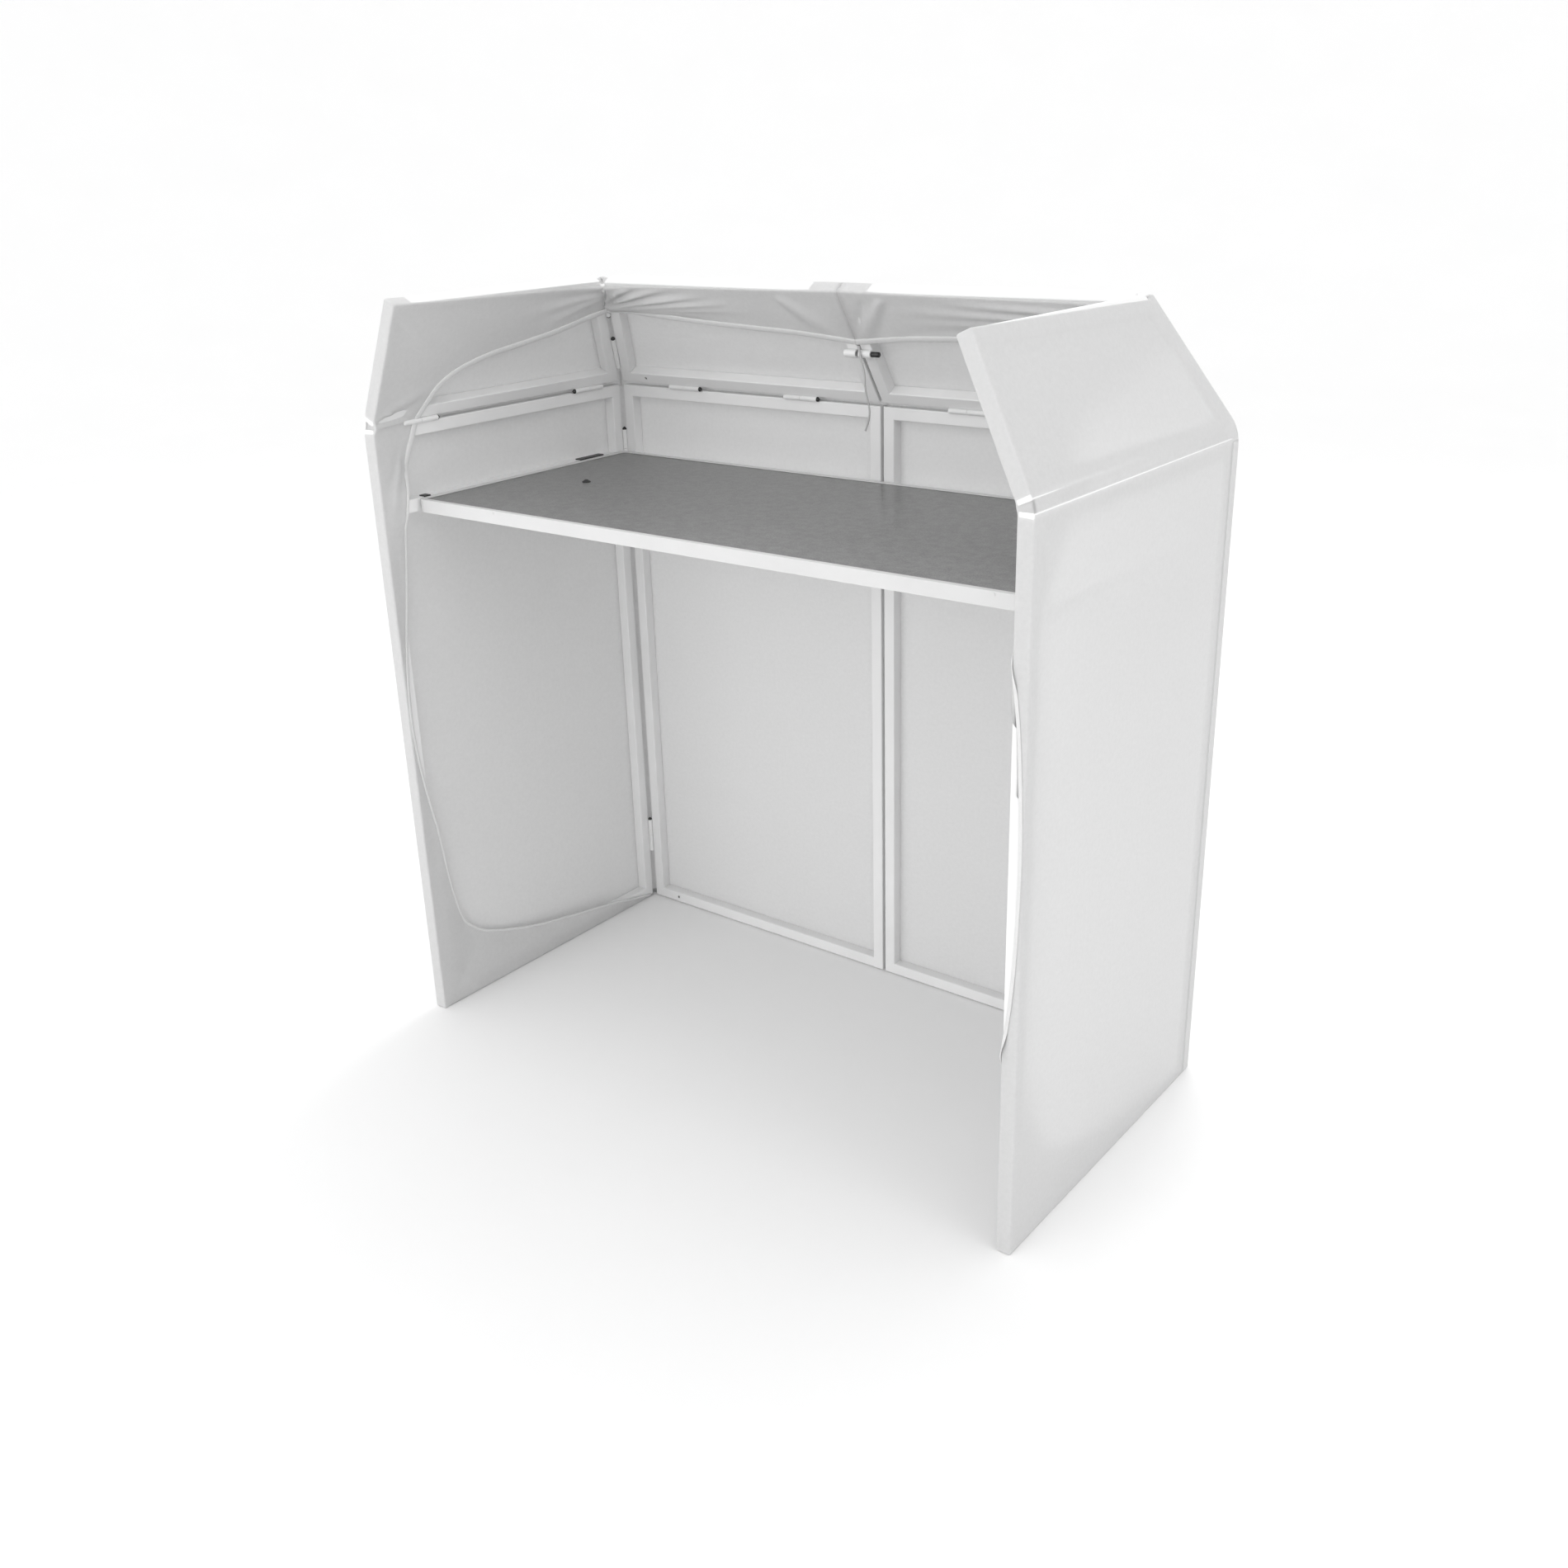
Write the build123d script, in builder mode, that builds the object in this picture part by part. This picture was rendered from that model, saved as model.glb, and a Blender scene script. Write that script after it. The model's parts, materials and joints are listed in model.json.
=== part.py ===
from build123d import *
from math import cos, hypot, pi, radians, sin, sqrt, tan
import os

# Portable folding performer's booth: four lower tube frames hinged into a U, four leaning
# upper frames hinged on top of them, a stretch-fabric cover and a hook-on work table.
# Millimetres. +X is the operator's right, +Y the audience side, +Z up.
# The origin is the centre of the footprint, on the floor.

# Driving dimensions
WIDTH = 1150.0  # over the covers
DEPTH = 570.0  # over the covers, front edge to back face
HEIGHT = 1194.0  # top of the booth, over the cover
UPPER_RISE = 194.0  # booth's top above the lower frames' tops
SIDE_LEAN = 24.5  # degrees that the side uppers lean inwards
BACK_LEAN = 33.0  # degrees that the back uppers lean inwards
TUBE = 20.0  # square tube
TUBE_WALL = 1.5
TUBE_EDGE = 2.0  # rounding of the tube's long edges
VENT_R = 2.5  # weld vent in each frame's tube
VENT_INSET = 60.0  # vent's centre from the frame's far end
CUT_PAST = 1.0  # cuts run this far past a face

COVER_T = 1.0  # fabric as a plain skin
COVER_GAP = 0.3  # clearance between fabric and tube
COVER_END = 2.0  # fabric stops this far from a seam

KNUCKLE_R = 4.0
KNUCKLE_CLEARANCE = 0.1  # to the tubes' rounded edges
KNUCKLE_LEN = 33.0
KNUCKLE_SPLIT = 0.6  # gap between the two knuckles of a hinge
KNUCKLE_DOME = 1.6  # rounding of a hinge's closed end
KNUCKLE_CAP = 3.0  # solid end of the blind bore
HINGE_PROUD = 2.0  # hinge axis stands this far off the frame's face
WELD_REACH = 6.0  # weld foot, measured past the tube's face
PIN_R = 2.4
PIN_CLEARANCE = 0.05
PIN_END_GAP = 1.0  # pin's end to the bottom of its bore
PIN_HEAD_R = 3.7
PIN_HEAD_LEN = 5.0
PIN_POINT_R = 1.0

SIDE_HINGE_BACK = 83.0  # seam hinge centre from the corner axis
SIDE_HINGE_FRONT = 91.0  # seam hinge centre from the front face
BACK_HINGE_INNER = 157.0  # seam hinge centre from the booth's centre
BACK_HINGE_OUTER = 147.0  # seam hinge centre from the corner axis
POST_HINGE_LOW = 131.0  # upright hinge centre above the floor
POST_HINGE_HIGH = 112.0  # upright hinge centre below the lower frame's top
MITRE_HINGE_SHARE = 0.31  # lower mitre hinge's centre, as a share of the mitre's length
MITRE_HINGE_HIGH = 37.0  # mitre hinge centre from the mitre's top end

TABLE_DROP = 115.0  # table top below the lower frames' tops
TABLE_SETBACK = 66.4  # table's front edge behind the frames' front faces
TABLE_T = 20.0
TABLE_SIDE_GAP = 2.2  # to the side frames' inner faces
TABLE_BACK_GAP = 8.0  # to the back frames' inner faces
TABLE_CORNER = 14.0
RIM_WALL = 1.5
RIM_LIP = 9.0
RIM_ROUND = 0.9
BOARD_GAP = 0.3
BOLT_SIDE = 136.5  # from the table's ends
BOLT_BACK = 235.0  # from the table's back edge
BOLT_SHANK_R = 3.0
BOLT_HEAD_R = 7.0
BOLT_HEAD_H = 4.0
NUT_ACROSS = 10.0
NUT_T = 5.0
RIVET_LEFT = 172.5  # from the table's left end
RIVET_RIGHT = 64.5  # from the table's right end
RIVET_DROP = 4.4  # centre below the table's top
RIVET_R = 2.2
RIVET_H = 0.8
HOOK_T = 1.8
HOOK_REACH = 13.0  # over the support bar
HOOK_DROP = 16.0
HOOK_LONG = 57.0  # rear hook's length
HOOK_LONG_BACK = 80.0  # rear hook's centre from the table's back edge
HOOK_SHORT = 12.0  # front hook's length
HOOK_SHORT_FRONT = 22.0  # front hook's centre from the table's front edge

LOCK_R = 6.0  # centre lock's barrels
LOCK_PIN_R = 4.0
LOCK_LEN = 21.0
LOCK_HEIGHT = 103.0  # up the slant from the seam axis
LOCK_STICKS_OUT = 14.0

CORD_R = 1.5
CORD_BEND = 0.45  # share of the shorter run that a bend of the cord takes up
# Drawcord of the cover's hem: its route from the lock's middle point
CORD_ROUTE = (
    (5.5, -6.9, 11.8),
    (10.0, -9.9, -5.2),
    (19.0, -11.4, -26.2),
    (19.5, -11.9, -49.2),
    (25.0, -10.9, -69.2),
    (27.5, -9.4, -91.2),
    (19.0, -10.9, -112.2),
)

# Hem line of the fabric's inner flaps. On a lower side panel: distances back from the front
# face, with depths below the frame's top, then heights above the floor.
HEM_HIGH = ((85.0, 0.0), (46.0, 150.0))
HEM_LOW = ((7.0, 520.0), (54.0, 205.0), (123.0, 101.0), (333.0, 47.0))
HEM_REAR = (5.4, 12.0)  # from the corner axis, and above the floor
# On the upper panels: distances from the front face, the corner axis or the booth's centre,
# with heights up the slant.
HEM_SIDE_FRONT = ((93.0, 0.0), (122.0, 53.0), (204.0, 89.0), (353.0, 116.0))
HEM_SIDE_REAR = (0.4, 148.0)
HEM_BACK_INNER = ((0.0, 116.0), (190.0, 132.0))
HEM_BACK_OUTER = ((141.7, 149.0), (31.7, 162.0))
HEM_PAST = 20.0  # the bare window is cut this far past the panel's hinged edges

# Derived places
LOWER_TOP = HEIGHT - UPPER_RISE
TABLE_TOP = LOWER_TOP - TABLE_DROP
COVER_OUT = COVER_GAP + COVER_T
REAR_OVERHANG = HINGE_PROUD + KNUCKLE_R - COVER_OUT  # centre hinge behind the cover
FRONT_Y = -(DEPTH + REAR_OVERHANG) / 2 + COVER_OUT  # frames' front faces
BACK_Y = FRONT_Y + DEPTH - 2 * COVER_OUT  # back frames' outer faces
OUTER_X = WIDTH / 2 - COVER_OUT  # side frames' outer faces
AXIS_X = OUTER_X - TUBE - HINGE_PROUD
AXIS_Y = BACK_Y - TUBE - HINGE_PROUD
CENTRE_AXIS_Y = BACK_Y + HINGE_PROUD
BARREL_ROOM = KNUCKLE_R + KNUCKLE_CLEARANCE + TUBE_EDGE
# The frames stop this far from a hinge axis, where their rounded edges clear the barrels
EDGE = sqrt(BARREL_ROOM**2 - (HINGE_PROUD + TUBE_EDGE) ** 2) - TUBE_EDGE
AXIS_Z = LOWER_TOP + EDGE
FRAME_FOOT = COVER_OUT  # the cover passes under the side frames
REACH = AXIS_Y - FRONT_Y  # side panels, from the corner axis to the front face
S_TAN, B_TAN = tan(radians(SIDE_LEAN)), tan(radians(BACK_LEAN))
SIDE_CUT = cos(radians(SIDE_LEAN)) * B_TAN  # mitre's run per unit of slant, side upper
BACK_CUT = cos(radians(BACK_LEAN)) * S_TAN  # mitre's run per unit of slant, back upper
MITRE = Vector(S_TAN, -B_TAN, 1).normalized()  # left-hand mitre line, upwards
CORNER = Vector(-AXIS_X, AXIS_Y, AXIS_Z)  # the left corner, where all hinge axes meet


def slant_height(lean):
    """Height up the slant at which the outer face's top edge reaches the booth's top."""
    lean = radians(lean)
    return (HEIGHT - COVER_OUT - AXIS_Z - (HINGE_PROUD + TUBE) * sin(lean)) / cos(lean)


SIDE_SLANT = slant_height(SIDE_LEAN)
BACK_SLANT = slant_height(BACK_LEAN)
MITRE_LEN = min(SIDE_SLANT * cos(radians(SIDE_LEAN)), BACK_SLANT * cos(radians(BACK_LEAN))) / MITRE.Z

# Hinge planes of the left-hand panels: local x runs away from the corner or the centre,
# local y runs up the panel, and the normal points outwards.
SIDE_LOWER = Plane(origin=(-AXIS_X, AXIS_Y, 0), x_dir=(0, -1, 0), z_dir=(-1, 0, 0))
BACK_LOWER = Plane(origin=(0, AXIS_Y, 0), x_dir=(-1, 0, 0), z_dir=(0, 1, 0))
SIDE_UPPER = Plane(
    origin=CORNER,
    x_dir=(0, -1, 0),
    z_dir=(-cos(radians(SIDE_LEAN)), 0, sin(radians(SIDE_LEAN))),
)
BACK_UPPER = Plane(
    origin=(0, AXIS_Y, AXIS_Z),
    x_dir=(-1, 0, 0),
    z_dir=(0, cos(radians(BACK_LEAN)), sin(radians(BACK_LEAN))),
)

os.makedirs("parts", exist_ok=True)


def save(part, label):
    """Label a finished piece and write it as its own STEP file."""
    part.label = label
    export_step(part, f"parts/{label}.step")


def save_pair(part, name):
    """Write a left-hand piece and its mirror image on the right."""
    save(part, f"{name}_left")
    with BuildPart() as right:
        mirror(part, about=Plane.YZ)
    save(right.part, f"{name}_right")


# Panel outlines, in their hinge planes
def side_lower_outline(grow=0.0, inner=0.0):
    """Side lower panel; grow moves the front and bottom edges out, inner the hinged ones."""
    near, far = EDGE - inner, REACH + grow
    low, high = FRAME_FOOT - grow, LOWER_TOP + inner
    return [(near, low), (far, low), (far, high), (near, high)]


def back_lower_outline():
    return [
        (EDGE, FRAME_FOOT),
        (AXIS_X - EDGE, FRAME_FOOT),
        (AXIS_X - EDGE, LOWER_TOP),
        (EDGE, LOWER_TOP),
    ]


def side_upper_outline(grow=0.0, inner=0.0):
    """Side upper panel; grow moves the front and top edges out, inner the hinged ones."""
    low, high = EDGE - inner, SIDE_SLANT + grow
    shift = (EDGE - inner) * hypot(1, SIDE_CUT)
    return [
        (SIDE_CUT * low + shift, low),
        (REACH + grow, low),
        (REACH + grow, high),
        (SIDE_CUT * high + shift, high),
    ]


def back_upper_outline(grow=0.0, inner=0.0):
    """Back upper panel; grow moves the top edge out, inner the hinged ones."""
    low, high = EDGE - inner, BACK_SLANT + grow
    shift = (EDGE - inner) * hypot(1, BACK_CUT)
    return [
        (EDGE - inner, low),
        (AXIS_X - BACK_CUT * low - shift, low),
        (AXIS_X - BACK_CUT * high - shift, high),
        (EDGE - inner, high),
    ]


# Frames
def tube_frame(plane, outline, bar_top=None):
    """A welded ring of hollow square tube behind a hinge plane, with an optional cross bar."""
    face = plane.offset(HINGE_PROUD)
    near = min(x for x, _ in outline)
    far = max(x for x, _ in outline)
    with BuildPart() as frame:
        with BuildSketch(face):
            with BuildLine():
                Polyline(*outline, close=True)
            make_face()
            offset(amount=-TUBE, kind=Kind.INTERSECTION, mode=Mode.SUBTRACT)
        extrude(amount=TUBE)
        long_edges = frame.edges().filter_by(lambda e: abs(e.tangent_at(0).dot(face.z_dir)) < 0.5)
        fillet(long_edges, TUBE_EDGE)
        if bar_top is not None:
            with BuildSketch(face):
                with Locations(((near + far) / 2, bar_top - TUBE / 2)):
                    Rectangle(far - near - 2 * TUBE + TUBE_WALL, TUBE)
            extrude(amount=TUBE)
        with BuildSketch(face.offset(TUBE_WALL)):
            with BuildLine():
                Polyline(*outline, close=True)
            make_face()
            offset(amount=-TUBE_WALL, kind=Kind.INTERSECTION)
            offset(amount=-(TUBE - 2 * TUBE_WALL), kind=Kind.INTERSECTION, mode=Mode.SUBTRACT)
            if bar_top is not None:
                with Locations(((near + far) / 2, bar_top - TUBE / 2)):
                    Rectangle(far - near - 2 * TUBE + 2 * TUBE_WALL, TUBE - 2 * TUBE_WALL)
        extrude(amount=TUBE - 2 * TUBE_WALL, mode=Mode.SUBTRACT)
        with BuildSketch(face):
            with Locations((far - VENT_INSET, outline[0][1] + TUBE / 2)):
                Circle(VENT_R)
        extrude(amount=TUBE_WALL + CUT_PAST, mode=Mode.SUBTRACT)
    return frame.part


save_pair(tube_frame(SIDE_LOWER, side_lower_outline(), TABLE_TOP), "frame_side")
save_pair(tube_frame(BACK_LOWER, back_lower_outline()), "frame_back")
save_pair(tube_frame(SIDE_UPPER, side_upper_outline()), "upper_frame_side")
save_pair(tube_frame(BACK_UPPER, back_upper_outline()), "upper_frame_back")


# Fabric covers, as plain skins
INNER_SKIN = HINGE_PROUD - COVER_OUT  # inner flap's inner surface, off the hinge plane
OUTER_SKIN = HINGE_PROUD + TUBE + COVER_GAP  # outer sheet's inner surface


def wrapped_cover(plane, outer, core, hem, corners):
    """A skin round a panel's outer face and free edges, with a flap inside down to its hem."""
    with BuildPart() as cover:
        with BuildSketch(plane.offset(INNER_SKIN)):
            with BuildLine():
                Polyline(*outer, close=True)
            make_face()
        extrude(amount=TUBE + 2 * COVER_OUT)
        with BuildSketch(plane.offset(INNER_SKIN + COVER_T)):
            with BuildLine():
                Polyline(*core, close=True)
            make_face()
        extrude(amount=TUBE + 2 * COVER_GAP, mode=Mode.SUBTRACT)
        with BuildSketch(plane.offset(INNER_SKIN - COVER_T)):
            with BuildLine():
                curve = Spline(*hem)
                Polyline(curve @ 1, *corners, curve @ 0)
            make_face()
        extrude(amount=2 * COVER_T + COVER_GAP, mode=Mode.SUBTRACT)
    return cover.part


lower_hem = [(REACH - x, LOWER_TOP - depth) for x, depth in HEM_HIGH]
lower_hem += [(REACH - x, z) for x, z in HEM_LOW] + [HEM_REAR]
lower_bare = [
    (-HEM_PAST, HEM_REAR[1]),
    (-HEM_PAST, LOWER_TOP + HEM_PAST),
    (lower_hem[0][0], LOWER_TOP + HEM_PAST),
]
cover_side = wrapped_cover(
    SIDE_LOWER,
    side_lower_outline(COVER_OUT, -COVER_END),
    side_lower_outline(COVER_GAP, COVER_T),
    lower_hem,
    lower_bare,
)
save_pair(cover_side, "cover_side")

with BuildPart() as cover_back:
    with BuildSketch(BACK_LOWER.offset(OUTER_SKIN)):
        with Locations((EDGE + COVER_END, 0)):
            Rectangle(
                AXIS_X - 2 * EDGE - COVER_END,
                LOWER_TOP - COVER_END,
                align=(Align.MIN, Align.MIN),
            )
    extrude(amount=COVER_T)
save_pair(cover_back.part, "cover_back")

side_hem = [(REACH - x, v) for x, v in HEM_SIDE_FRONT] + [HEM_SIDE_REAR]
upper_cover_side = wrapped_cover(
    SIDE_UPPER,
    side_upper_outline(COVER_OUT, -COVER_END),
    side_upper_outline(COVER_GAP, COVER_T),
    side_hem,
    [(-HEM_PAST, side_hem[-1][1]), (-HEM_PAST, -HEM_PAST), (side_hem[0][0], -HEM_PAST)],
)
save_pair(upper_cover_side, "upper_cover_side")

back_hem = [*HEM_BACK_INNER] + [(AXIS_X - x, v) for x, v in HEM_BACK_OUTER]
upper_cover_back = wrapped_cover(
    BACK_UPPER,
    back_upper_outline(COVER_OUT, -COVER_END),
    back_upper_outline(COVER_GAP, COVER_T),
    back_hem,
    [
        (AXIS_X + HEM_PAST, back_hem[-1][1]),
        (AXIS_X + HEM_PAST, -HEM_PAST),
        (-HEM_PAST, -HEM_PAST),
        (-HEM_PAST, back_hem[0][1]),
    ],
)
save_pair(upper_cover_back, "upper_cover_back")


# Barrel hinges
HALF_SPLIT = KNUCKLE_SPLIT / 2
X, Y, Z = Vector(1, 0, 0), Vector(0, 1, 0), Vector(0, 0, 1)


def knuckle(point, along, panel, closed):
    """A welded hinge barrel from a point along its axis; panel gives the way to the tube's
    edge and the way through the tube's thickness. A closed one has a rounded blind end."""
    toward, through = panel
    plane = Plane(origin=point, x_dir=toward, z_dir=along)
    side = 1 if plane.y_dir.dot(through) > 0 else -1
    bore_end = KNUCKLE_LEN - KNUCKLE_CAP if closed else KNUCKLE_LEN + CUT_PAST
    with BuildPart() as barrel:
        with BuildSketch(plane):
            Circle(KNUCKLE_R)
        extrude(amount=KNUCKLE_LEN)
        if closed:
            fillet(barrel.edges().sort_by(Axis(point, along))[-1], KNUCKLE_DOME)
        with BuildSketch(plane.offset(KNUCKLE_DOME)):
            with Locations((EDGE / 2, side * (HINGE_PROUD + WELD_REACH) / 2)):
                Rectangle(EDGE, HINGE_PROUD + WELD_REACH)
        extrude(amount=KNUCKLE_LEN - 2 * KNUCKLE_DOME)
        with BuildSketch(plane.offset(-CUT_PAST)):
            Circle(PIN_R + PIN_CLEARANCE)
        extrude(amount=CUT_PAST + bore_end, mode=Mode.SUBTRACT)
    return barrel.part


def hinge_pin(centre, to_head, joined):
    """A pin with a pointed head; a pin that isn't joined stops inside its own barrel."""
    bore_end = HALF_SPLIT + KNUCKLE_LEN - KNUCKLE_CAP
    start = PIN_END_GAP - bore_end if joined else HALF_SPLIT + PIN_END_GAP
    seat = HALF_SPLIT + KNUCKLE_LEN + PIN_CLEARANCE
    with BuildPart() as pin:
        with BuildSketch(Plane(origin=centre + to_head * start, z_dir=to_head)):
            Circle(PIN_R)
        extrude(amount=seat - start)
        with Locations(Plane(origin=centre + to_head * seat, z_dir=to_head)):
            Cylinder(PIN_HEAD_R, PIN_HEAD_LEN / 3, align=(Align.CENTER, Align.CENTER, Align.MIN))
        with Locations(Plane(origin=centre + to_head * (seat + PIN_HEAD_LEN / 3), z_dir=to_head)):
            Cone(
                PIN_HEAD_R,
                PIN_POINT_R,
                PIN_HEAD_LEN * 2 / 3,
                align=(Align.CENTER, Align.CENTER, Align.MIN),
            )
    return pin.part


def hinge_row(centres, to_heads, head_panel, far_panel, joined=True):
    """Hinges on one axis: the head-end barrels, the far-end barrels and the pins."""
    with BuildPart() as head_barrels:
        for centre, to_head in zip(centres, to_heads):
            add(knuckle(centre + to_head * HALF_SPLIT, to_head, head_panel, False))
    with BuildPart() as far_barrels:
        for centre, to_head in zip(centres, to_heads):
            add(knuckle(centre - to_head * HALF_SPLIT, to_head * -1, far_panel, True))
    with BuildPart() as pins:
        for centre, to_head in zip(centres, to_heads):
            add(hinge_pin(centre, to_head, joined))
    return head_barrels.part, far_barrels.part, pins.part


# Side seams: lower barrels nearest the heads, which face each other
side_seam = [
    CORNER - Y * SIDE_HINGE_BACK,
    CORNER - Y * (REACH - SIDE_HINGE_FRONT),
]
lower, upper, pins = hinge_row(
    side_seam,
    [Y * -1, Y],
    (Z * -1, X * -1),
    (SIDE_UPPER.y_dir, SIDE_UPPER.z_dir),
)
save_pair(lower, "seam_barrels_side")
save_pair(upper, "upper_seam_barrels_side")
save_pair(pins, "seam_pins_side")

# Back seams: every head points the same way, so the right-hand side isn't a mirror image
for name, sign in (("left", -1), ("right", 1)):
    back_seam = [
        Vector(sign * BACK_HINGE_INNER, AXIS_Y, AXIS_Z),
        Vector(sign * (AXIS_X - BACK_HINGE_OUTER), AXIS_Y, AXIS_Z),
    ]
    lower, upper, pins = hinge_row(
        back_seam,
        [X, X],
        (Z * -1, Y),
        (BACK_UPPER.y_dir, BACK_UPPER.z_dir),
    )
    save(lower, f"seam_barrels_back_{name}")
    save(upper, f"upper_seam_barrels_back_{name}")
    save(pins, f"seam_pins_back_{name}")

# Upright corners, and the upright fold in the middle of the back
post_heights = [Z * POST_HINGE_LOW, Z * (LOWER_TOP - POST_HINGE_HIGH)]
corner_posts = [Vector(-AXIS_X, AXIS_Y, 0) + height for height in post_heights]
on_side, on_back, pins = hinge_row(corner_posts, [Z, Z], (Y * -1, X * -1), (X, Y))
save_pair(on_side, "corner_barrels_side")
save_pair(on_back, "corner_barrels_back")
save_pair(pins, "corner_pins")

centre_posts = [Vector(0, CENTRE_AXIS_Y, 0) + height for height in post_heights]
on_right, on_left, pins = hinge_row(centre_posts, [Z, Z], (X, Y * -1), (X * -1, Y * -1))
save(on_right, "centre_barrels_right")
save(on_left, "centre_barrels_left")
save(pins, "centre_pins")

# Mitres between the uppers: the pin ends inside its own barrel
to_side = (SIDE_UPPER.x_dir - MITRE * SIDE_UPPER.x_dir.dot(MITRE)).normalized()
to_back = (X - MITRE * X.dot(MITRE)).normalized()
mitre_centres = [
    CORNER + MITRE * MITRE_LEN * MITRE_HINGE_SHARE,
    CORNER + MITRE * (MITRE_LEN - MITRE_HINGE_HIGH),
]
on_side, on_back, pins = hinge_row(
    mitre_centres,
    [MITRE, MITRE * -1],
    (to_side, SIDE_UPPER.z_dir),
    (to_back, BACK_UPPER.z_dir),
    joined=False,
)
save_pair(on_side, "mitre_barrels_side")
save_pair(on_back, "mitre_barrels_back")
save_pair(pins, "mitre_pins")


# Centre lock: a pin that pushes from the right-hand upper's barrel into the left-hand one's
lock_axis = BACK_UPPER.offset(HINGE_PROUD - LOCK_R)
lock_point = lock_axis.from_local_coords((0, LOCK_HEIGHT, 0))


def lock_barrel(sign):
    """A barrel welded across the inner face of one back upper's centre tube."""
    start = lock_point + X * sign * (EDGE + COVER_GAP)
    plane = Plane(origin=start, x_dir=BACK_UPPER.z_dir, z_dir=X * sign)
    with BuildPart() as barrel:
        with BuildSketch(plane):
            Circle(LOCK_R)
            with Locations((LOCK_R / 2, 0)):
                Rectangle(LOCK_R, LOCK_R)
            Circle(LOCK_PIN_R + PIN_CLEARANCE, mode=Mode.SUBTRACT)
        extrude(amount=LOCK_LEN)
    return barrel.part


save(lock_barrel(-1), "lock_barrel_left")
save(lock_barrel(1), "lock_barrel_right")

lock_start = lock_point + X * (EDGE + 2 * COVER_GAP)
with BuildPart() as lock_pin:
    with BuildSketch(Plane(origin=lock_start, x_dir=BACK_UPPER.z_dir, z_dir=X)):
        Circle(LOCK_PIN_R)
    extrude(amount=LOCK_LEN + LOCK_STICKS_OUT)
    fillet(lock_pin.edges().sort_by(Axis.X)[-1], LOCK_PIN_R / 3)
save(lock_pin.part, "lock_pin")


# Table
TABLE_HALF = AXIS_X + HINGE_PROUD - TABLE_SIDE_GAP
TABLE_BACK_Y = AXIS_Y + HINGE_PROUD - TABLE_BACK_GAP
TABLE_FRONT_Y = FRONT_Y + TABLE_SETBACK
TABLE_BOTTOM = TABLE_TOP - TABLE_T


def table_outline(inset):
    """The table's rounded outline, in the active sketch, a distance in from its edge."""
    depth = TABLE_BACK_Y - TABLE_FRONT_Y - 2 * inset
    with Locations((0, (TABLE_BACK_Y + TABLE_FRONT_Y) / 2)):
        RectangleRounded(2 * (TABLE_HALF - inset), depth, TABLE_CORNER - inset)


with BuildPart() as table_rim:
    with BuildSketch(Plane.XY.offset(TABLE_BOTTOM)):
        table_outline(0)
    extrude(amount=TABLE_T)
    with BuildSketch(Plane.XY.offset(TABLE_BOTTOM - CUT_PAST)):
        table_outline(RIM_LIP)
    extrude(amount=TABLE_T + 2 * CUT_PAST, mode=Mode.SUBTRACT)
    fillet(table_rim.edges().group_by(Axis.Z)[-1], RIM_ROUND)
    with BuildSketch(Plane.XY.offset(TABLE_BOTTOM + RIM_WALL)):
        table_outline(RIM_WALL)
    extrude(amount=TABLE_T - 2 * RIM_WALL, mode=Mode.SUBTRACT)
save(table_rim.part, "table_rim")

bolt_y = TABLE_BACK_Y - BOLT_BACK
bolt_places = [(BOLT_SIDE - TABLE_HALF, bolt_y), (TABLE_HALF - BOLT_SIDE, bolt_y)]
board_bottom = TABLE_BOTTOM + RIM_WALL + BOARD_GAP
board_top = TABLE_TOP - RIM_WALL - BOARD_GAP
with BuildPart() as table_board:
    with BuildSketch(Plane.XY.offset(board_bottom)):
        table_outline(RIM_WALL + BOARD_GAP)
        with Locations(*bolt_places):
            Circle(BOLT_SHANK_R + PIN_CLEARANCE, mode=Mode.SUBTRACT)
    extrude(amount=board_top - board_bottom)
save(table_board.part, "table_board")

with BuildPart() as table_bolts:
    with BuildSketch(Plane.XY.offset(board_bottom - NUT_T - BOARD_GAP)):
        with Locations(*bolt_places):
            Circle(BOLT_SHANK_R)
    extrude(amount=board_top - board_bottom + NUT_T + BOARD_GAP)
    with Locations(*[(x, y, board_top) for x, y in bolt_places]):
        Cylinder(BOLT_HEAD_R, BOLT_HEAD_H / 4, align=(Align.CENTER, Align.CENTER, Align.MIN))
    with Locations(*[(x, y, board_top + BOLT_HEAD_H / 4) for x, y in bolt_places]):
        Cone(
            BOLT_HEAD_R,
            BOLT_HEAD_R / 3,
            BOLT_HEAD_H * 3 / 4,
            align=(Align.CENTER, Align.CENTER, Align.MIN),
        )
save(table_bolts.part, "table_bolts")

with BuildPart() as table_nuts:
    with BuildSketch(Plane.XY.offset(board_bottom - NUT_T)):
        with Locations(*bolt_places):
            RegularPolygon(NUT_ACROSS / 2, 6, major_radius=False)
            Circle(BOLT_SHANK_R + PIN_CLEARANCE, mode=Mode.SUBTRACT)
    extrude(amount=NUT_T)
save(table_nuts.part, "table_nuts")

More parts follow.
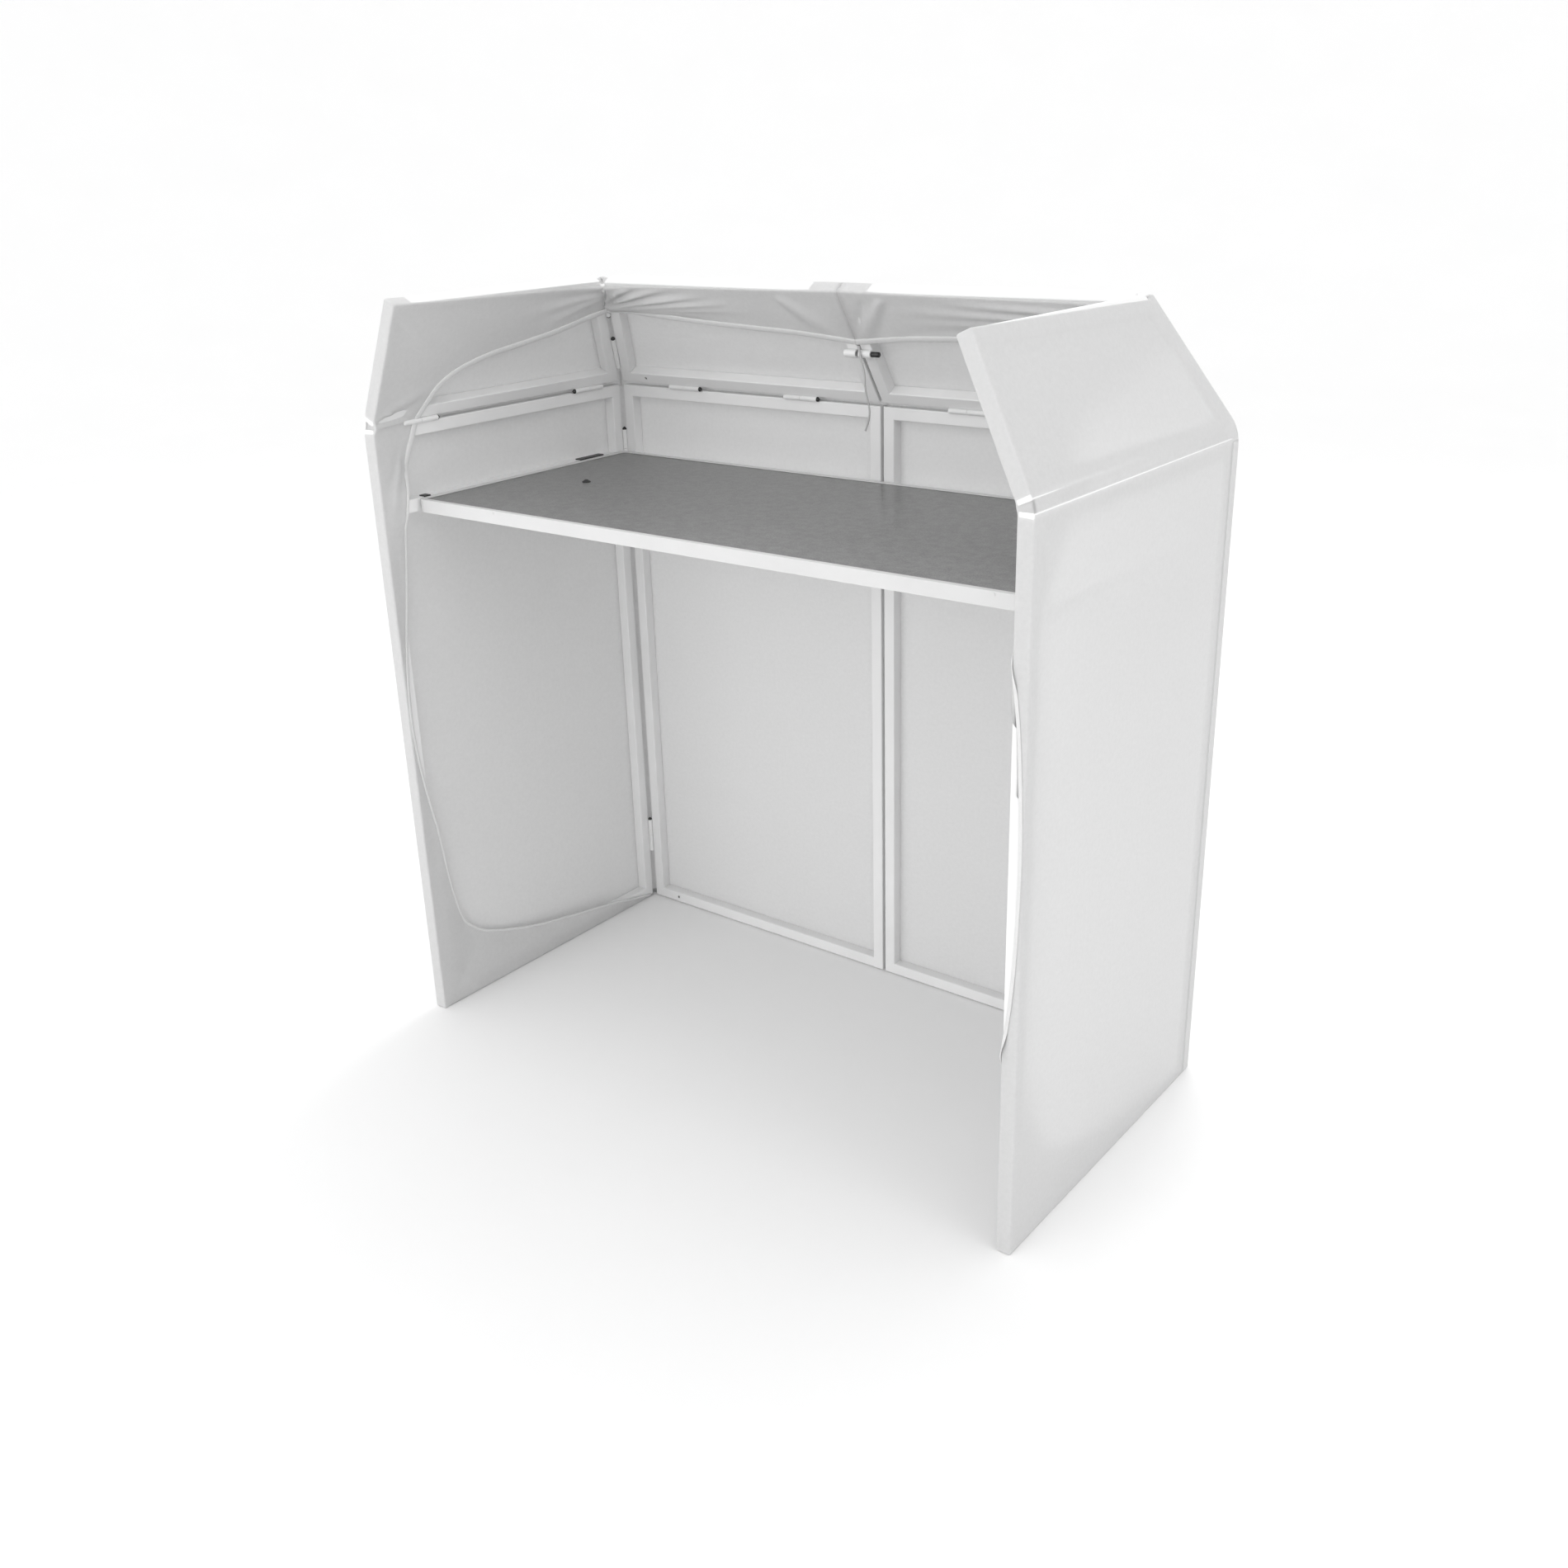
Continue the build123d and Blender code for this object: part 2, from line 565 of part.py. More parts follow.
# Hooks on the table's ends, over the side frames' support bars
hook_rows = (
    (TABLE_BACK_Y - HOOK_LONG_BACK, HOOK_LONG),
    (TABLE_FRONT_Y + HOOK_SHORT_FRONT, HOOK_SHORT),
)
with BuildPart() as table_hooks:
    for middle, length in hook_rows:
        with BuildSketch(Plane.XZ.offset(-(middle + length / 2))):
            with BuildLine():
                Polyline(
                    (-TABLE_HALF, TABLE_TOP - HOOK_DROP),
                    (-TABLE_HALF, TABLE_TOP + HOOK_T),
                    (-TABLE_HALF - HOOK_REACH, TABLE_TOP + HOOK_T),
                    (-TABLE_HALF - HOOK_REACH, TABLE_TOP),
                    (-TABLE_HALF - HOOK_T, TABLE_TOP),
                    (-TABLE_HALF - HOOK_T, TABLE_TOP - HOOK_DROP),
                    close=True,
                )
            make_face()
        extrude(amount=length)
save_pair(table_hooks.part, "table_hooks")

rivet_z = TABLE_TOP - RIVET_DROP
with BuildPart() as rim_rivets:
    with BuildSketch(Plane.XZ.offset(-TABLE_FRONT_Y)):
        with Locations((RIVET_LEFT - TABLE_HALF, rivet_z), (TABLE_HALF - RIVET_RIGHT, rivet_z)):
            Circle(RIVET_R)
    extrude(amount=RIVET_H)
save(rim_rivets.part, "rim_rivets")


# Drawcord, hanging inside the right-hand back upper
cord_points = [lock_point + Vector(*step) for step in CORD_ROUTE]


def route_radii(spots):
    """Radius at each corner: a share of the shorter run, over the tangent of half the turn."""
    radii = []
    for before, here, after in zip(spots, spots[1:], spots[2:]):
        run_in, run_out = here - before, after - here
        half_turn = radians(run_in.get_angle(run_out)) / 2
        radii.append(CORD_BEND * min(run_in.length, run_out.length) / tan(half_turn))
    return radii


cord_radii = route_radii(cord_points)
print("cord points", [tuple(round(c, 2) for c in point) for point in cord_points])
print("cord radii", [round(radius, 1) for radius in cord_radii])
with BuildPart() as drawcord:
    with BuildLine():
        route = FilletPolyline(*cord_points, radius=cord_radii)
    with BuildSketch(Plane(origin=route @ 0, z_dir=route % 0)):
        Circle(CORD_R)
    sweep()
straight_volume = pi * CORD_R**2 * route.length
print("cord length", round(route.length, 1))
print("cord volume over a straight one's", drawcord.part.volume / straight_volume)
save(drawcord.part, "drawcord")
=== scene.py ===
import json
import math

import bmesh
import bpy
import numpy as np
from mathutils import Matrix, Vector


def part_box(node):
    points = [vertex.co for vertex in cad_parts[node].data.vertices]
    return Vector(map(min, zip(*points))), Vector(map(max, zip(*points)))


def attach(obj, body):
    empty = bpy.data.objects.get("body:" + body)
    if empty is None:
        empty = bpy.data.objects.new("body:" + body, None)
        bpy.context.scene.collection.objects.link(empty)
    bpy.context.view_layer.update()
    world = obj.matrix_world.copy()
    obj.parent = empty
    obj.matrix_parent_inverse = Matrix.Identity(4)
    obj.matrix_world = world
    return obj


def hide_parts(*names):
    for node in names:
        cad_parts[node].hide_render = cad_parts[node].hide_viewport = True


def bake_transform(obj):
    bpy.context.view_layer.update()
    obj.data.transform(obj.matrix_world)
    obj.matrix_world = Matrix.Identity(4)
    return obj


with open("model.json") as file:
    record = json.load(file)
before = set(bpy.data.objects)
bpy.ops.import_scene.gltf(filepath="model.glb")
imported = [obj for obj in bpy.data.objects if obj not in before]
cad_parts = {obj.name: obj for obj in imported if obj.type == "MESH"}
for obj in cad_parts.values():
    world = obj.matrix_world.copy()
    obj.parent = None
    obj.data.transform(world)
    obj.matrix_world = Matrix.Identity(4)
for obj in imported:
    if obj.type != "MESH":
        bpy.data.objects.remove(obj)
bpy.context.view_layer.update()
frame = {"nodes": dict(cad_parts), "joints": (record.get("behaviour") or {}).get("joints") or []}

# ------------------------------------------------------------------ sizes, in metres
SKIN = 0.0013  # fabric's outer surface, off the tubes
FABRIC_T = 0.0008
EDGE_R = 0.0033  # fabric's rounding over a tube's edge
RIDGE_R = 0.010  # tangent length of the rounding at an outside corner
RIDGE_FLAT = 0.006  # flat margin beside that rounding
SINK = 0.0007  # fabric sinks this far between the tubes
SEAM_EASE = 0.009  # half the height over which fabric bends across a seam
SEAM_GROOVE = 0.0030  # depth of the fabric's groove over a seam
GROOVE_HALF = 0.0065  # half its height
NOTCH = 0.0065  # depth of the pinch where the front edges part at the seam
NOTCH_HALF = 0.008  # half the pinch's height
STEP = 0.010  # spacing of the fabric's rows and columns
BACK_STEP = 0.0065  # spacing of the back sheet's columns
SEAM_STEP = 0.002  # spacing of the rows near the seam
SEAM_START = 0.992  # height where those close rows start
SEAM_PAST = 0.015  # they end this far above the seam
BESIDE = 0.001  # a mark has a row or column this far on each side
TUBE = 0.020
HEM_HALF = 0.0052  # half the width of the elastic hem
HEM_THICK = 0.0016  # half its thickness
HEM_STEP = 0.003
HEM_PROUD = 0.0006  # its middle stands this far off the flap
PUCKER = 0.0085  # pitch of its gathers
HEM_UP = 0.170  # where it crosses the mitre, up the mitre from the corner
MITRE_LIFT = 0.0060  # inner flaps pass this far inside the mitre's axis
CENTRE_HALF = 0.011  # half the width of the strip over the centre gap
CENTRE_DIP = 0.0004  # depth of the upper sheets' meeting line
CENTRE_BULGE = 0.055  # reach of the strip's bulge over a hinge
HINGE_LOW = 0.131  # lower centre hinge, above the floor
HINGE_HIGH = 0.112  # upper centre hinge, below the lower frames' top
UNDER = 0.011  # width of the hem that turns under a bottom edge
NEAR_HEM = 0.02  # reach of the hem's twist at the mitre
MITRE_EASE = 0.060  # reach of the flaps' lift near the mitre

JOINTS = {j["name"]: j for j in frame["joints"]}


def vec(*xyz):
    return np.array(xyz, float)


def unit(v):
    return v / np.linalg.norm(v)


def smooth(t):
    t = np.clip(t, 0, 1)
    return t * t * (3 - 2 * t)


def bell(distance, width):
    return np.exp(-((distance / width) ** 2))


# Places that the frame gives, for the left-hand half
CORNER = vec(*JOINTS["corner_left"]["pos_m"])
AX, AY = -CORNER[0], CORNER[1]
AZ = JOINTS["upper_side_left_tilt"]["pos_m"][2]
CORNER[2] = AZ
SIDE_LEAN = math.radians(JOINTS["upper_side_left_tilt"]["range_deg"][1])
BACK_LEAN = math.radians(JOINTS["upper_back_left_tilt"]["range_deg"][1])
side_low_box, side_high_box = (vec(*c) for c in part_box("frame_side_left"))
IN_FACE = -side_high_box[0] - AX  # hinge plane to the frames' inner faces
OUT_FACE = -side_low_box[0] - AX  # hinge plane to the frames' outer faces
FRONT = AY - side_low_box[1]  # corner axis to the frames' front faces
W_OUT, W_IN = OUT_FACE + SKIN, IN_FACE - SKIN
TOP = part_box("upper_frame_side_left")[1][2]
TABLE_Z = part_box("table_rim")[1][2]


class Panel:
    """A hinge plane: along runs away from the corner or the centre, up the panel, out."""

    def __init__(self, origin, along, up, out):
        self.origin, self.along, self.up, self.out = origin, along, up, out

    def at(self, u, v, w):
        u, v, w = np.broadcast_arrays(*(np.asarray(x, float) for x in (u, v, w)))
        return (
            self.origin
            + u[..., None] * self.along
            + v[..., None] * self.up
            + w[..., None] * self.out
        )


def leaning(origin, along, level, lean):
    """A panel that leans inwards from the vertical; level is its outward direction."""
    rise = vec(0, 0, 1)
    up = rise * math.cos(lean) - level * math.sin(lean)
    out = level * math.cos(lean) + rise * math.sin(lean)
    return Panel(origin, along, up, out)


SIDE = (
    leaning(vec(-AX, AY, 0), vec(0, -1, 0), vec(-1, 0, 0), 0),
    leaning(CORNER, vec(0, -1, 0), vec(-1, 0, 0), SIDE_LEAN),
)
BACK = (
    leaning(vec(0, AY, 0), vec(-1, 0, 0), vec(0, 1, 0), 0),
    leaning(vec(0, AY, AZ), vec(-1, 0, 0), vec(0, 1, 0), BACK_LEAN),
)


def slant(panel):
    """Height up a leaning panel at which its outer edge reaches the frames' top."""
    return (TOP - AZ - OUT_FACE * panel.out[2]) / panel.up[2]


def crossing(h):
    """0 on the lower panel, 1 on the upper one, and between them over the seam."""
    return smooth((np.asarray(h, float) - AZ + SEAM_EASE) / (2 * SEAM_EASE))


def across(pair, u, h, w):
    """Points on a lower panel and the upper one above it, as one bent sheet."""
    k = crossing(h)[..., None]
    h = np.asarray(h, float)
    return (1 - k) * pair[0].at(u, h, w) + k * pair[1].at(u, h - AZ, w)


def mixed(lower, upper, h):
    k = crossing(h)[..., None]
    v = (1 - k) * lower + k * upper
    return v / np.linalg.norm(v, axis=-1, keepdims=True)


# The mitre, where the two outer sheets meet
MITRE = unit(np.cross(SIDE[1].out, BACK[1].out))
MITRE = MITRE * math.copysign(1, MITRE[2])
OUT_DOT = float(SIDE[1].out @ BACK[1].out)
MITRE_OUT = (SIDE[1].out + BACK[1].out) / (1 + OUT_DOT)
POST_OUT = SIDE[0].out + BACK[0].out
MITRE_UP = MITRE * (SIDE[1].up[2] + BACK[1].up[2]) / 2 / MITRE[2]
TO_SIDE = (SIDE[0].along, unit(SIDE[1].along - MITRE * (SIDE[1].along @ MITRE)))
TO_BACK = (-BACK[0].along, unit(-BACK[1].along + MITRE * (BACK[1].along @ MITRE)))


def stations(start, end, step=STEP, marks=()):
    """Sample places from start to end, with close pairs at each mark."""
    places = [start, end]
    for mark in marks:
        places += [mark - BESIDE, mark + BESIDE]
    places = sorted(p for p in places if min(start, end) <= p <= max(start, end))
    out = [places[0]]
    for a, b in zip(places, places[1:]):
        if b - a > 1e-6:
            out += list(np.linspace(a, b, max(1, round((b - a) / step)) + 1)[1:])
    return np.array(out if start < end else out[::-1])


FRAME_GAP = -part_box("frame_back_left")[1][0]  # frames' edges stop this far from a hinge axis
MARK = 0.0008  # half the width of a step in the sheet's backing
TUBE_EDGES = (SKIN + TUBE, TABLE_Z - TUBE, TABLE_Z, AZ - FRAME_GAP - TUBE)
LOW_ROWS = np.concatenate(
    [
        stations(EDGE_R, SEAM_START - SEAM_STEP, STEP, TUBE_EDGES),
        np.arange(SEAM_START, AZ + SEAM_PAST, SEAM_STEP),
    ]
)
SEAM_ROW = int(np.argmin(abs(LOW_ROWS - (AZ - SEAM_EASE))))


def rows_of(pair):
    """Heights of a sheet's rows, from the floor to its top edge."""
    top = AZ + slant(pair[1])
    first, last = AZ + FRAME_GAP + TUBE, top - TUBE
    high = np.concatenate(
        [
            [first - MARK],
            np.linspace(first + MARK, last - MARK, 18),
            np.linspace(last + MARK, top + SKIN - EDGE_R, 4),
        ]
    )
    return np.concatenate([LOW_ROWS, high])


def ridge():
    """The sharp outside corner of the two outer sheets, row by row."""
    h = rows_of(SIDE)
    low_points = vec(-AX, AY, 0) + POST_OUT * W_OUT + np.outer(h, vec(0, 0, 1))
    offset = MITRE_OUT * W_OUT
    t = [
        (rows_of(pair) - AZ - offset @ pair[1].up) / (MITRE @ pair[1].up)
        for pair in (SIDE, BACK)
    ]
    high_points = CORNER + offset + np.outer((t[0] + t[1]) / 2, MITRE)
    k = crossing(h)[:, None]
    return (1 - k) * low_points + k * high_points


RIDGE = ridge()
ROW_H = rows_of(SIDE)
SIDE_WAY = mixed(TO_SIDE[0], TO_SIDE[1], ROW_H)
BACK_WAY = mixed(TO_BACK[0], TO_BACK[1], ROW_H)
RIDGE_TAUS = (0.5, 0.4, 0.3, 0.2, 0.1, 0.0)


def ridge_curve(tau, way, other):
    """Points on the rounded corner; tau is 0.5 on the ridge and 0 where it is flat again."""
    near, far = RIDGE + way * RIDGE_R, RIDGE + other * RIDGE_R
    return (1 - tau) ** 2 * near + 2 * tau * (1 - tau) * RIDGE + tau**2 * far


# ------------------------------------------------------------------ mesh helpers
class Cloth:
    """Patches of points that become one mesh."""

    def __init__(self):
        self.points, self.faces, self.backed, self.count = [], [], [], 0

    def patch(self, points, backed=0.0):
        points = np.asarray(points, float)
        m, n = points.shape[:2]
        index = np.arange(m * n).reshape(m, n) + self.count
        quads = np.stack(
            [index[:-1, :-1], index[:-1, 1:], index[1:, 1:], index[1:, :-1]], axis=-1
        )
        self.points.append(points.reshape(-1, 3))
        self.backed.append(np.broadcast_to(backed, (m, n)).reshape(-1))
        self.faces += quads.reshape(-1, 4).tolist()
        self.count += m * n

    def build(self, name, out_at, out, right=False, thick=FABRIC_T):
        """The welded mesh, with the face nearest out_at turned towards out."""
        points = np.concatenate(self.points)
        mirror = vec(-1, 1, 1) if right else vec(1, 1, 1)
        mesh = bpy.data.meshes.new(name)
        mesh.from_pydata((points * mirror).tolist(), [], self.faces)
        # Each point's backed value also drives the fabric's painted highlight over the tubes
        layer = mesh.attributes.new("backed", "FLOAT", "POINT")
        layer.data.foreach_set("value", np.concatenate(self.backed).astype(np.float32))
        bm = bmesh.new()
        bm.from_mesh(mesh)
        bmesh.ops.remove_doubles(bm, verts=bm.verts, dist=2e-5)
        bmesh.ops.dissolve_degenerate(bm, edges=bm.edges, dist=1e-6)
        bmesh.ops.recalc_face_normals(bm, faces=bm.faces)
        bm.normal_update()
        target, way = Vector(out_at * mirror), Vector(out * mirror)
        nearest = min(bm.faces, key=lambda f: (f.calc_center_median() - target).length)
        if nearest.normal.dot(way) < 0:
            bmesh.ops.reverse_faces(bm, faces=bm.faces)
        for face in bm.faces:
            face.smooth = True
        bm.to_mesh(mesh)
        bm.free()
        piece = bpy.data.objects.new(name, mesh)
        bpy.context.scene.collection.objects.link(piece)
        if thick:
            solid = piece.modifiers.new("thickness", "SOLIDIFY")
            solid.thickness, solid.offset = thick, -1.0
            settle(piece)
        return piece


def settle(piece):
    """Applies a piece's modifiers to its mesh."""
    bpy.context.view_layer.update()
    graph = bpy.context.evaluated_depsgraph_get()
    done = bpy.data.meshes.new_from_object(piece.evaluated_get(graph))
    piece.modifiers.clear()
    old, piece.data = piece.data, done
    bpy.data.meshes.remove(old)


def spline(points, step=0.004):
    """A Catmull-Rom curve through points, sampled about every step."""
    p = np.array(points, float)
    p = np.vstack([2 * p[0] - p[1], p, 2 * p[-1] - p[-2]])
    out, keys = [p[1]], [0]
    for a, b, c, d in zip(p, p[1:], p[2:], p[3:]):
        ta, tb, tc = (
            math.sqrt(max(np.linalg.norm(y - x), 1e-6)) for x, y in ((a, b), (b, c), (c, d))
        )
        m1 = (c - b) + tb * ((b - a) / ta - (c - a) / (ta + tb))
        m2 = (c - b) + tb * ((d - c) / tc - (d - b) / (tb + tc))
        n = max(2, round(np.linalg.norm(c - b) / step))
        for t in np.linspace(0, 1, n + 1)[1:]:
            out.append(
                (2 * t**3 - 3 * t**2 + 1) * b
                + (t**3 - 2 * t**2 + t) * m1
                + (3 * t**2 - 2 * t**3) * c
                + (t**3 - t**2) * m2
            )
        keys.append(len(out) - 1)
    return np.array(out), keys


def lengths(points):
    return np.concatenate([[0], np.cumsum(np.linalg.norm(np.diff(points, axis=0), axis=1))])


def resample(points, places):
    """Points at the given lengths along a polyline."""
    s = lengths(points)
    return np.stack([np.interp(places, s, points[:, k]) for k in range(3)], axis=1)


def matched(border, border_keys, hem, hem_keys):
    """The hem point that each border point goes to, spread evenly between the keys."""
    sb, sh = lengths(border), lengths(hem)
    return resample(hem, np.interp(sb, sb[border_keys], sh[hem_keys]))


# Fabric's section round a tube: distance out from the sheet's edge, and depth
ARC = np.linspace(0, math.pi / 2, 5)
RING = (
    [(EDGE_R * math.sin(a), W_OUT - EDGE_R * (1 - math.cos(a))) for a in ARC]
    + [(EDGE_R, W_OUT - (W_OUT - W_IN) / 2)]
    + [(EDGE_R * math.cos(a), W_IN + EDGE_R * (1 - math.sin(a))) for a in ARC]
)


def wrapped(border, edge_way, out_way, pinch, lift):
    """Rings of fabric round an edge, from the outer sheet to the inner face."""
    rings = []
    for k, (d, w) in enumerate(RING):
        share = k / (len(RING) - 1)
        reach = d - pinch * smooth(share * 4) * (1 - 0.6 * share)
        rings.append(
            border
            + edge_way * np.asarray(reach)[:, None]
            + out_way * (w - W_OUT)
            - out_way * (lift * share)[:, None]
        )
    return np.stack(rings, axis=1)


def folds_at(u, v, folds):
    """Height of soft folds at panel places; each runs from one point to another."""
    total = np.zeros(np.shape(u))
    for (u0, v0), (u1, v1), width, height in folds:
        run = vec(u1 - u0, v1 - v0)
        size = np.linalg.norm(run)
        run = run / size
        s = ((u - u0) * run[0] + (v - v0) * run[1]) / size
        off = (u - u0) * -run[1] + (v - v0) * run[0]
        spread = width * (0.45 + 0.9 * np.clip(s, 0, 1))
        fade = smooth(s / 0.10) * smooth((1 - s) / 0.6)
        ridge_part = bell(off, spread) - 0.45 * bell(off - 1.7 * spread, spread)
        total = total + height * fade * ridge_part
    return total


FLAP = np.linspace(0, 1, 25)[1:]


def flap_rows(start, hem, creases):
    """Rows of the inner flap from the wrapped edge to the hem, with its folds.

    Each crease entry is a panel, its folds, and where along the edge they apply."""
    rows = start[:, None, :] * (1 - FLAP)[None, :, None] + hem[:, None, :] * FLAP[None, :, None]
    eased = smooth(FLAP / 0.12)[None, :]
    for panel, folds, where in creases:
        rel = rows - panel.origin
        rise = folds_at(rel @ panel.along, rel @ panel.up, folds) * eased * where[:, None]
        rows = rows - panel.out * rise[..., None]
    return rows


def hem_roll(name, path, normals, seed, right=False):
    """The elastic hem: a soft gathered band along the flap's edge."""
    places = np.linspace(0, lengths(path)[-1], max(8, round(lengths(path)[-1] / HEM_STEP)))
    points = resample(path, places)
    normal = np.stack([np.interp(places, lengths(path), normals[:, k]) for k in range(3)], axis=1)
    way = np.gradient(points, axis=0)
    way /= np.linalg.norm(way, axis=1, keepdims=True)
    side = np.cross(way, normal)
    side /= np.linalg.norm(side, axis=1, keepdims=True)
    normal = np.cross(side, way)
    rng = np.random.default_rng(seed)
    phase = np.cumsum(rng.uniform(0.7, 1.3, len(places))) * HEM_STEP / PUCKER * 2 * math.pi
    pucker = 1 + 0.10 * np.sin(phase) + 0.04 * np.sin(phase * 0.37)
    scale = 0.5 + 0.5 * smooth((points[:, 2] - 0.86) / 0.12)
    rings = []
    for angle in np.linspace(0, 2 * math.pi, 13):
        over = HEM_HALF * (1 + math.cos(angle)) * scale
        proud = HEM_THICK * math.sin(angle) * pucker * scale + HEM_PROUD
        rings.append(points + side * over[:, None] + normal * proud[:, None])
    cloth = Cloth()
    cloth.patch(np.stack(rings, axis=1))
    mid = len(points) // 2
    piece = cloth.build(name, points[mid] + normal[mid] * HEM_THICK, normal[mid], right, 0)
    bm = bmesh.new()
    bm.from_mesh(piece.data)
    bmesh.ops.holes_fill(bm, edges=[e for e in bm.edges if e.is_boundary], sides=20)
    bmesh.ops.recalc_face_normals(bm, faces=bm.faces)
    bm.to_mesh(piece.data)
    bm.free()
    return piece


# ------------------------------------------------------------------ the fabric cover
class Wall:
    """A lower panel and its upper one, as one outer sheet with a rounded strip to the ridge."""

    def __init__(self, pair, way, other, far_u, far_edge, step):
        self.rows = rows_of(pair)
        self.out = mixed(pair[0].out, pair[1].out, self.rows)
        start = ridge_curve(0.0, way, other) + way * RIDGE_FLAT
        end = across(pair, far_u, self.rows, W_OUT)
        line = end - start
        size = np.linalg.norm(line, axis=1)
        line = line / size[:, None]
        # Distances along each row to the near tube's edges, then even steps to the far edge
        k = crossing(self.rows)
        skew = 1 / abs(line @ way[-1]) * k + (1 - k)
        mitre_gap = FRAME_GAP - RIDGE_R - RIDGE_FLAT - MITRE_OUT @ way[-1] * W_OUT
        edge = (FRAME_GAP + W_OUT - RIDGE_R - RIDGE_FLAT) * (1 - k) + mitre_gap * k * skew
        near = [0 * edge, edge] + [edge + TUBE * skew * f for f in (0.5, 0.96, 1.04)]
        run = abs(far_u - far_edge) + TUBE
        marks = (float(size[0] - run),)
        share = stations(float(near[-1][0]), float(size[0]), step, marks)[1:]
        share = (share - near[-1][0]) / (size[0] - near[-1][0])
        rest = [near[-1] + (size - near[-1]) * f for f in share]
        places = np.stack(near + rest, axis=1)
        points = start[:, None] + line[:, None] * places[..., None]
        # backed is 1 where a tube lies behind the sheet: the sheet sinks where it is 0, and the
        # fabric's shader paints a lighter highlight where it is 1
        backed = np.zeros(places.shape)
        backed[:, :4] = 1.0
        backed[places > (size - run)[:, None]] = 1.0
        h = self.rows
        top = AZ + slant(pair[1])
        band = (h < SKIN + TUBE) | (h > top - TUBE) | (abs(h - AZ) < FRAME_GAP + TUBE)
        backed[band] = 1.0
        self.backed = backed
        self.main = self.sag(points, backed)
        strip = [ridge_curve(tau, way, other) for tau in RIDGE_TAUS] + [start]
        strip = np.stack(strip, axis=1)
        self.strip = self.sag(strip, np.ones(strip.shape[:2]))

    def sag(self, points, backed):
        """Sinks the sheet between the tubes and into the seam's groove."""
        groove = SEAM_GROOVE * bell(self.rows - AZ, GROOVE_HALF)[:, None]
        return points - self.out[:, None] * (SINK * (1 - backed) + groove)[..., None]


def fan(first, second, count=5):
    """Directions between two square ones, for the fabric's wrap round a corner."""
    angles = np.linspace(0, math.pi / 2, count)[1:-1]
    return np.stack([first * math.cos(a) + second * math.sin(a) for a in angles])


class Border:
    """The outer sheet's free edge: its points, the way out past it and the sheet's normal."""

    def __init__(self):
        self.points, self.edge_way, self.out_way, self.starts = [], [], [], []

    def run(self, points, edge_way, out_way):
        n = len(points)
        self.starts.append(sum(len(p) for p in self.points))
        self.points.append(points)
        self.edge_way.append(np.broadcast_to(edge_way, (n, 3)))
        self.out_way.append(np.broadcast_to(out_way, (n, 3)))

    def turn(self, point, first, second, out_way):
        ways = fan(first, second)
        self.run(np.repeat(point[None], len(ways), 0), ways, out_way)

    def joined(self):
        return [np.concatenate(x) for x in (self.points, self.edge_way, self.out_way)]


def top_edge(wall, panel):
    """The top edge from the ridge, where both sheets share their last points."""
    points = np.concatenate([wall.strip[-1], wall.main[-1, 1:]])
    share = [2 * t for t in RIDGE_TAUS] + [0.0] * (len(points) - len(RIDGE_TAUS))
    share = np.array(share)[:, None]
    return (
        points,
        panel.up * (1 - share) + MITRE_UP * share,
        panel.out * (1 - share) + MITRE_OUT * share,
    )


MITRE_IN = -unit(MITRE_OUT)
HEM_CORNER = CORNER + MITRE * HEM_UP + MITRE_IN * MITRE_LIFT
# The hem's route: distances from the front face, with heights up the slant or from the floor
HEM_UPPER = (
    (0.423, 0.132),
    (0.353, 0.115),
    (0.285, 0.103),
    (0.204, 0.089),
    (0.152, 0.072),
    (0.122, 0.053),
    (0.103, 0.026),
)
HEM_FRONT = (
    (0.073, 0.968),
    (0.059, 0.908),
    (0.046, 0.851),
    (0.033, 0.763),
    (0.014, 0.640),
    (0.008, 0.526),
    (0.018, 0.420),
    (0.035, 0.329),
    (0.054, 0.205),
)
# On the right it slips over the front face; a negative distance is across that face
HEM_FRONT_RIGHT = (
    (0.076, 0.968),
    (0.046, 0.912),
    (0.020, 0.868),
    (0.004, 0.825),
    (-0.006, 0.770),
    (-0.012, 0.700),
    (-0.016, 0.600),
    (-0.015, 0.500),
    (-0.010, 0.400),
    (0.000, 0.320),
    (0.020, 0.250),
    (0.048, 0.195),
)
HEM_BOTTOM = (
    (0.076, 0.141),
    (0.100, 0.116),
    (0.123, 0.101),
    (0.222, 0.068),
    (0.333, 0.047),
    (0.442, 0.029),
    (0.495, 0.016),
    (0.535, 0.007),
)
# The back upper's hem: place from the booth's centre, and height up the slant
HEM_BACK = (
    (0.450, 0.1535),
    (0.410, 0.149),
    (0.310, 0.140),
    (0.190, 0.132),
    (0.100, 0.127),
    (0.030, 0.1195),
    (0.0, 0.116),
)


HOLLOW = 0.012  # the flap hangs this far into the window between the tubes
# Place of each point of the wrap round the front edge: 0 at its sharp inner corner
RING_PLACES = np.array(
    [W_IN - w for _, w in RING[: len(ARC) + 1]]
    + [EDGE_R * (2 * a / ARC[-1] - 1) for a in ARC]
)


def hollow(d, h):
    """How far the side's flap sinks at a distance behind the front face, and a height."""
    reach = TUBE + SKIN
    room = np.minimum(d, h) - reach
    room = np.minimum(room, abs(h - TABLE_Z + TUBE / 2) - TUBE / 2)
    room = np.minimum(room, AZ - TUBE - FRAME_GAP - h)
    return HOLLOW * smooth(room / 0.07)


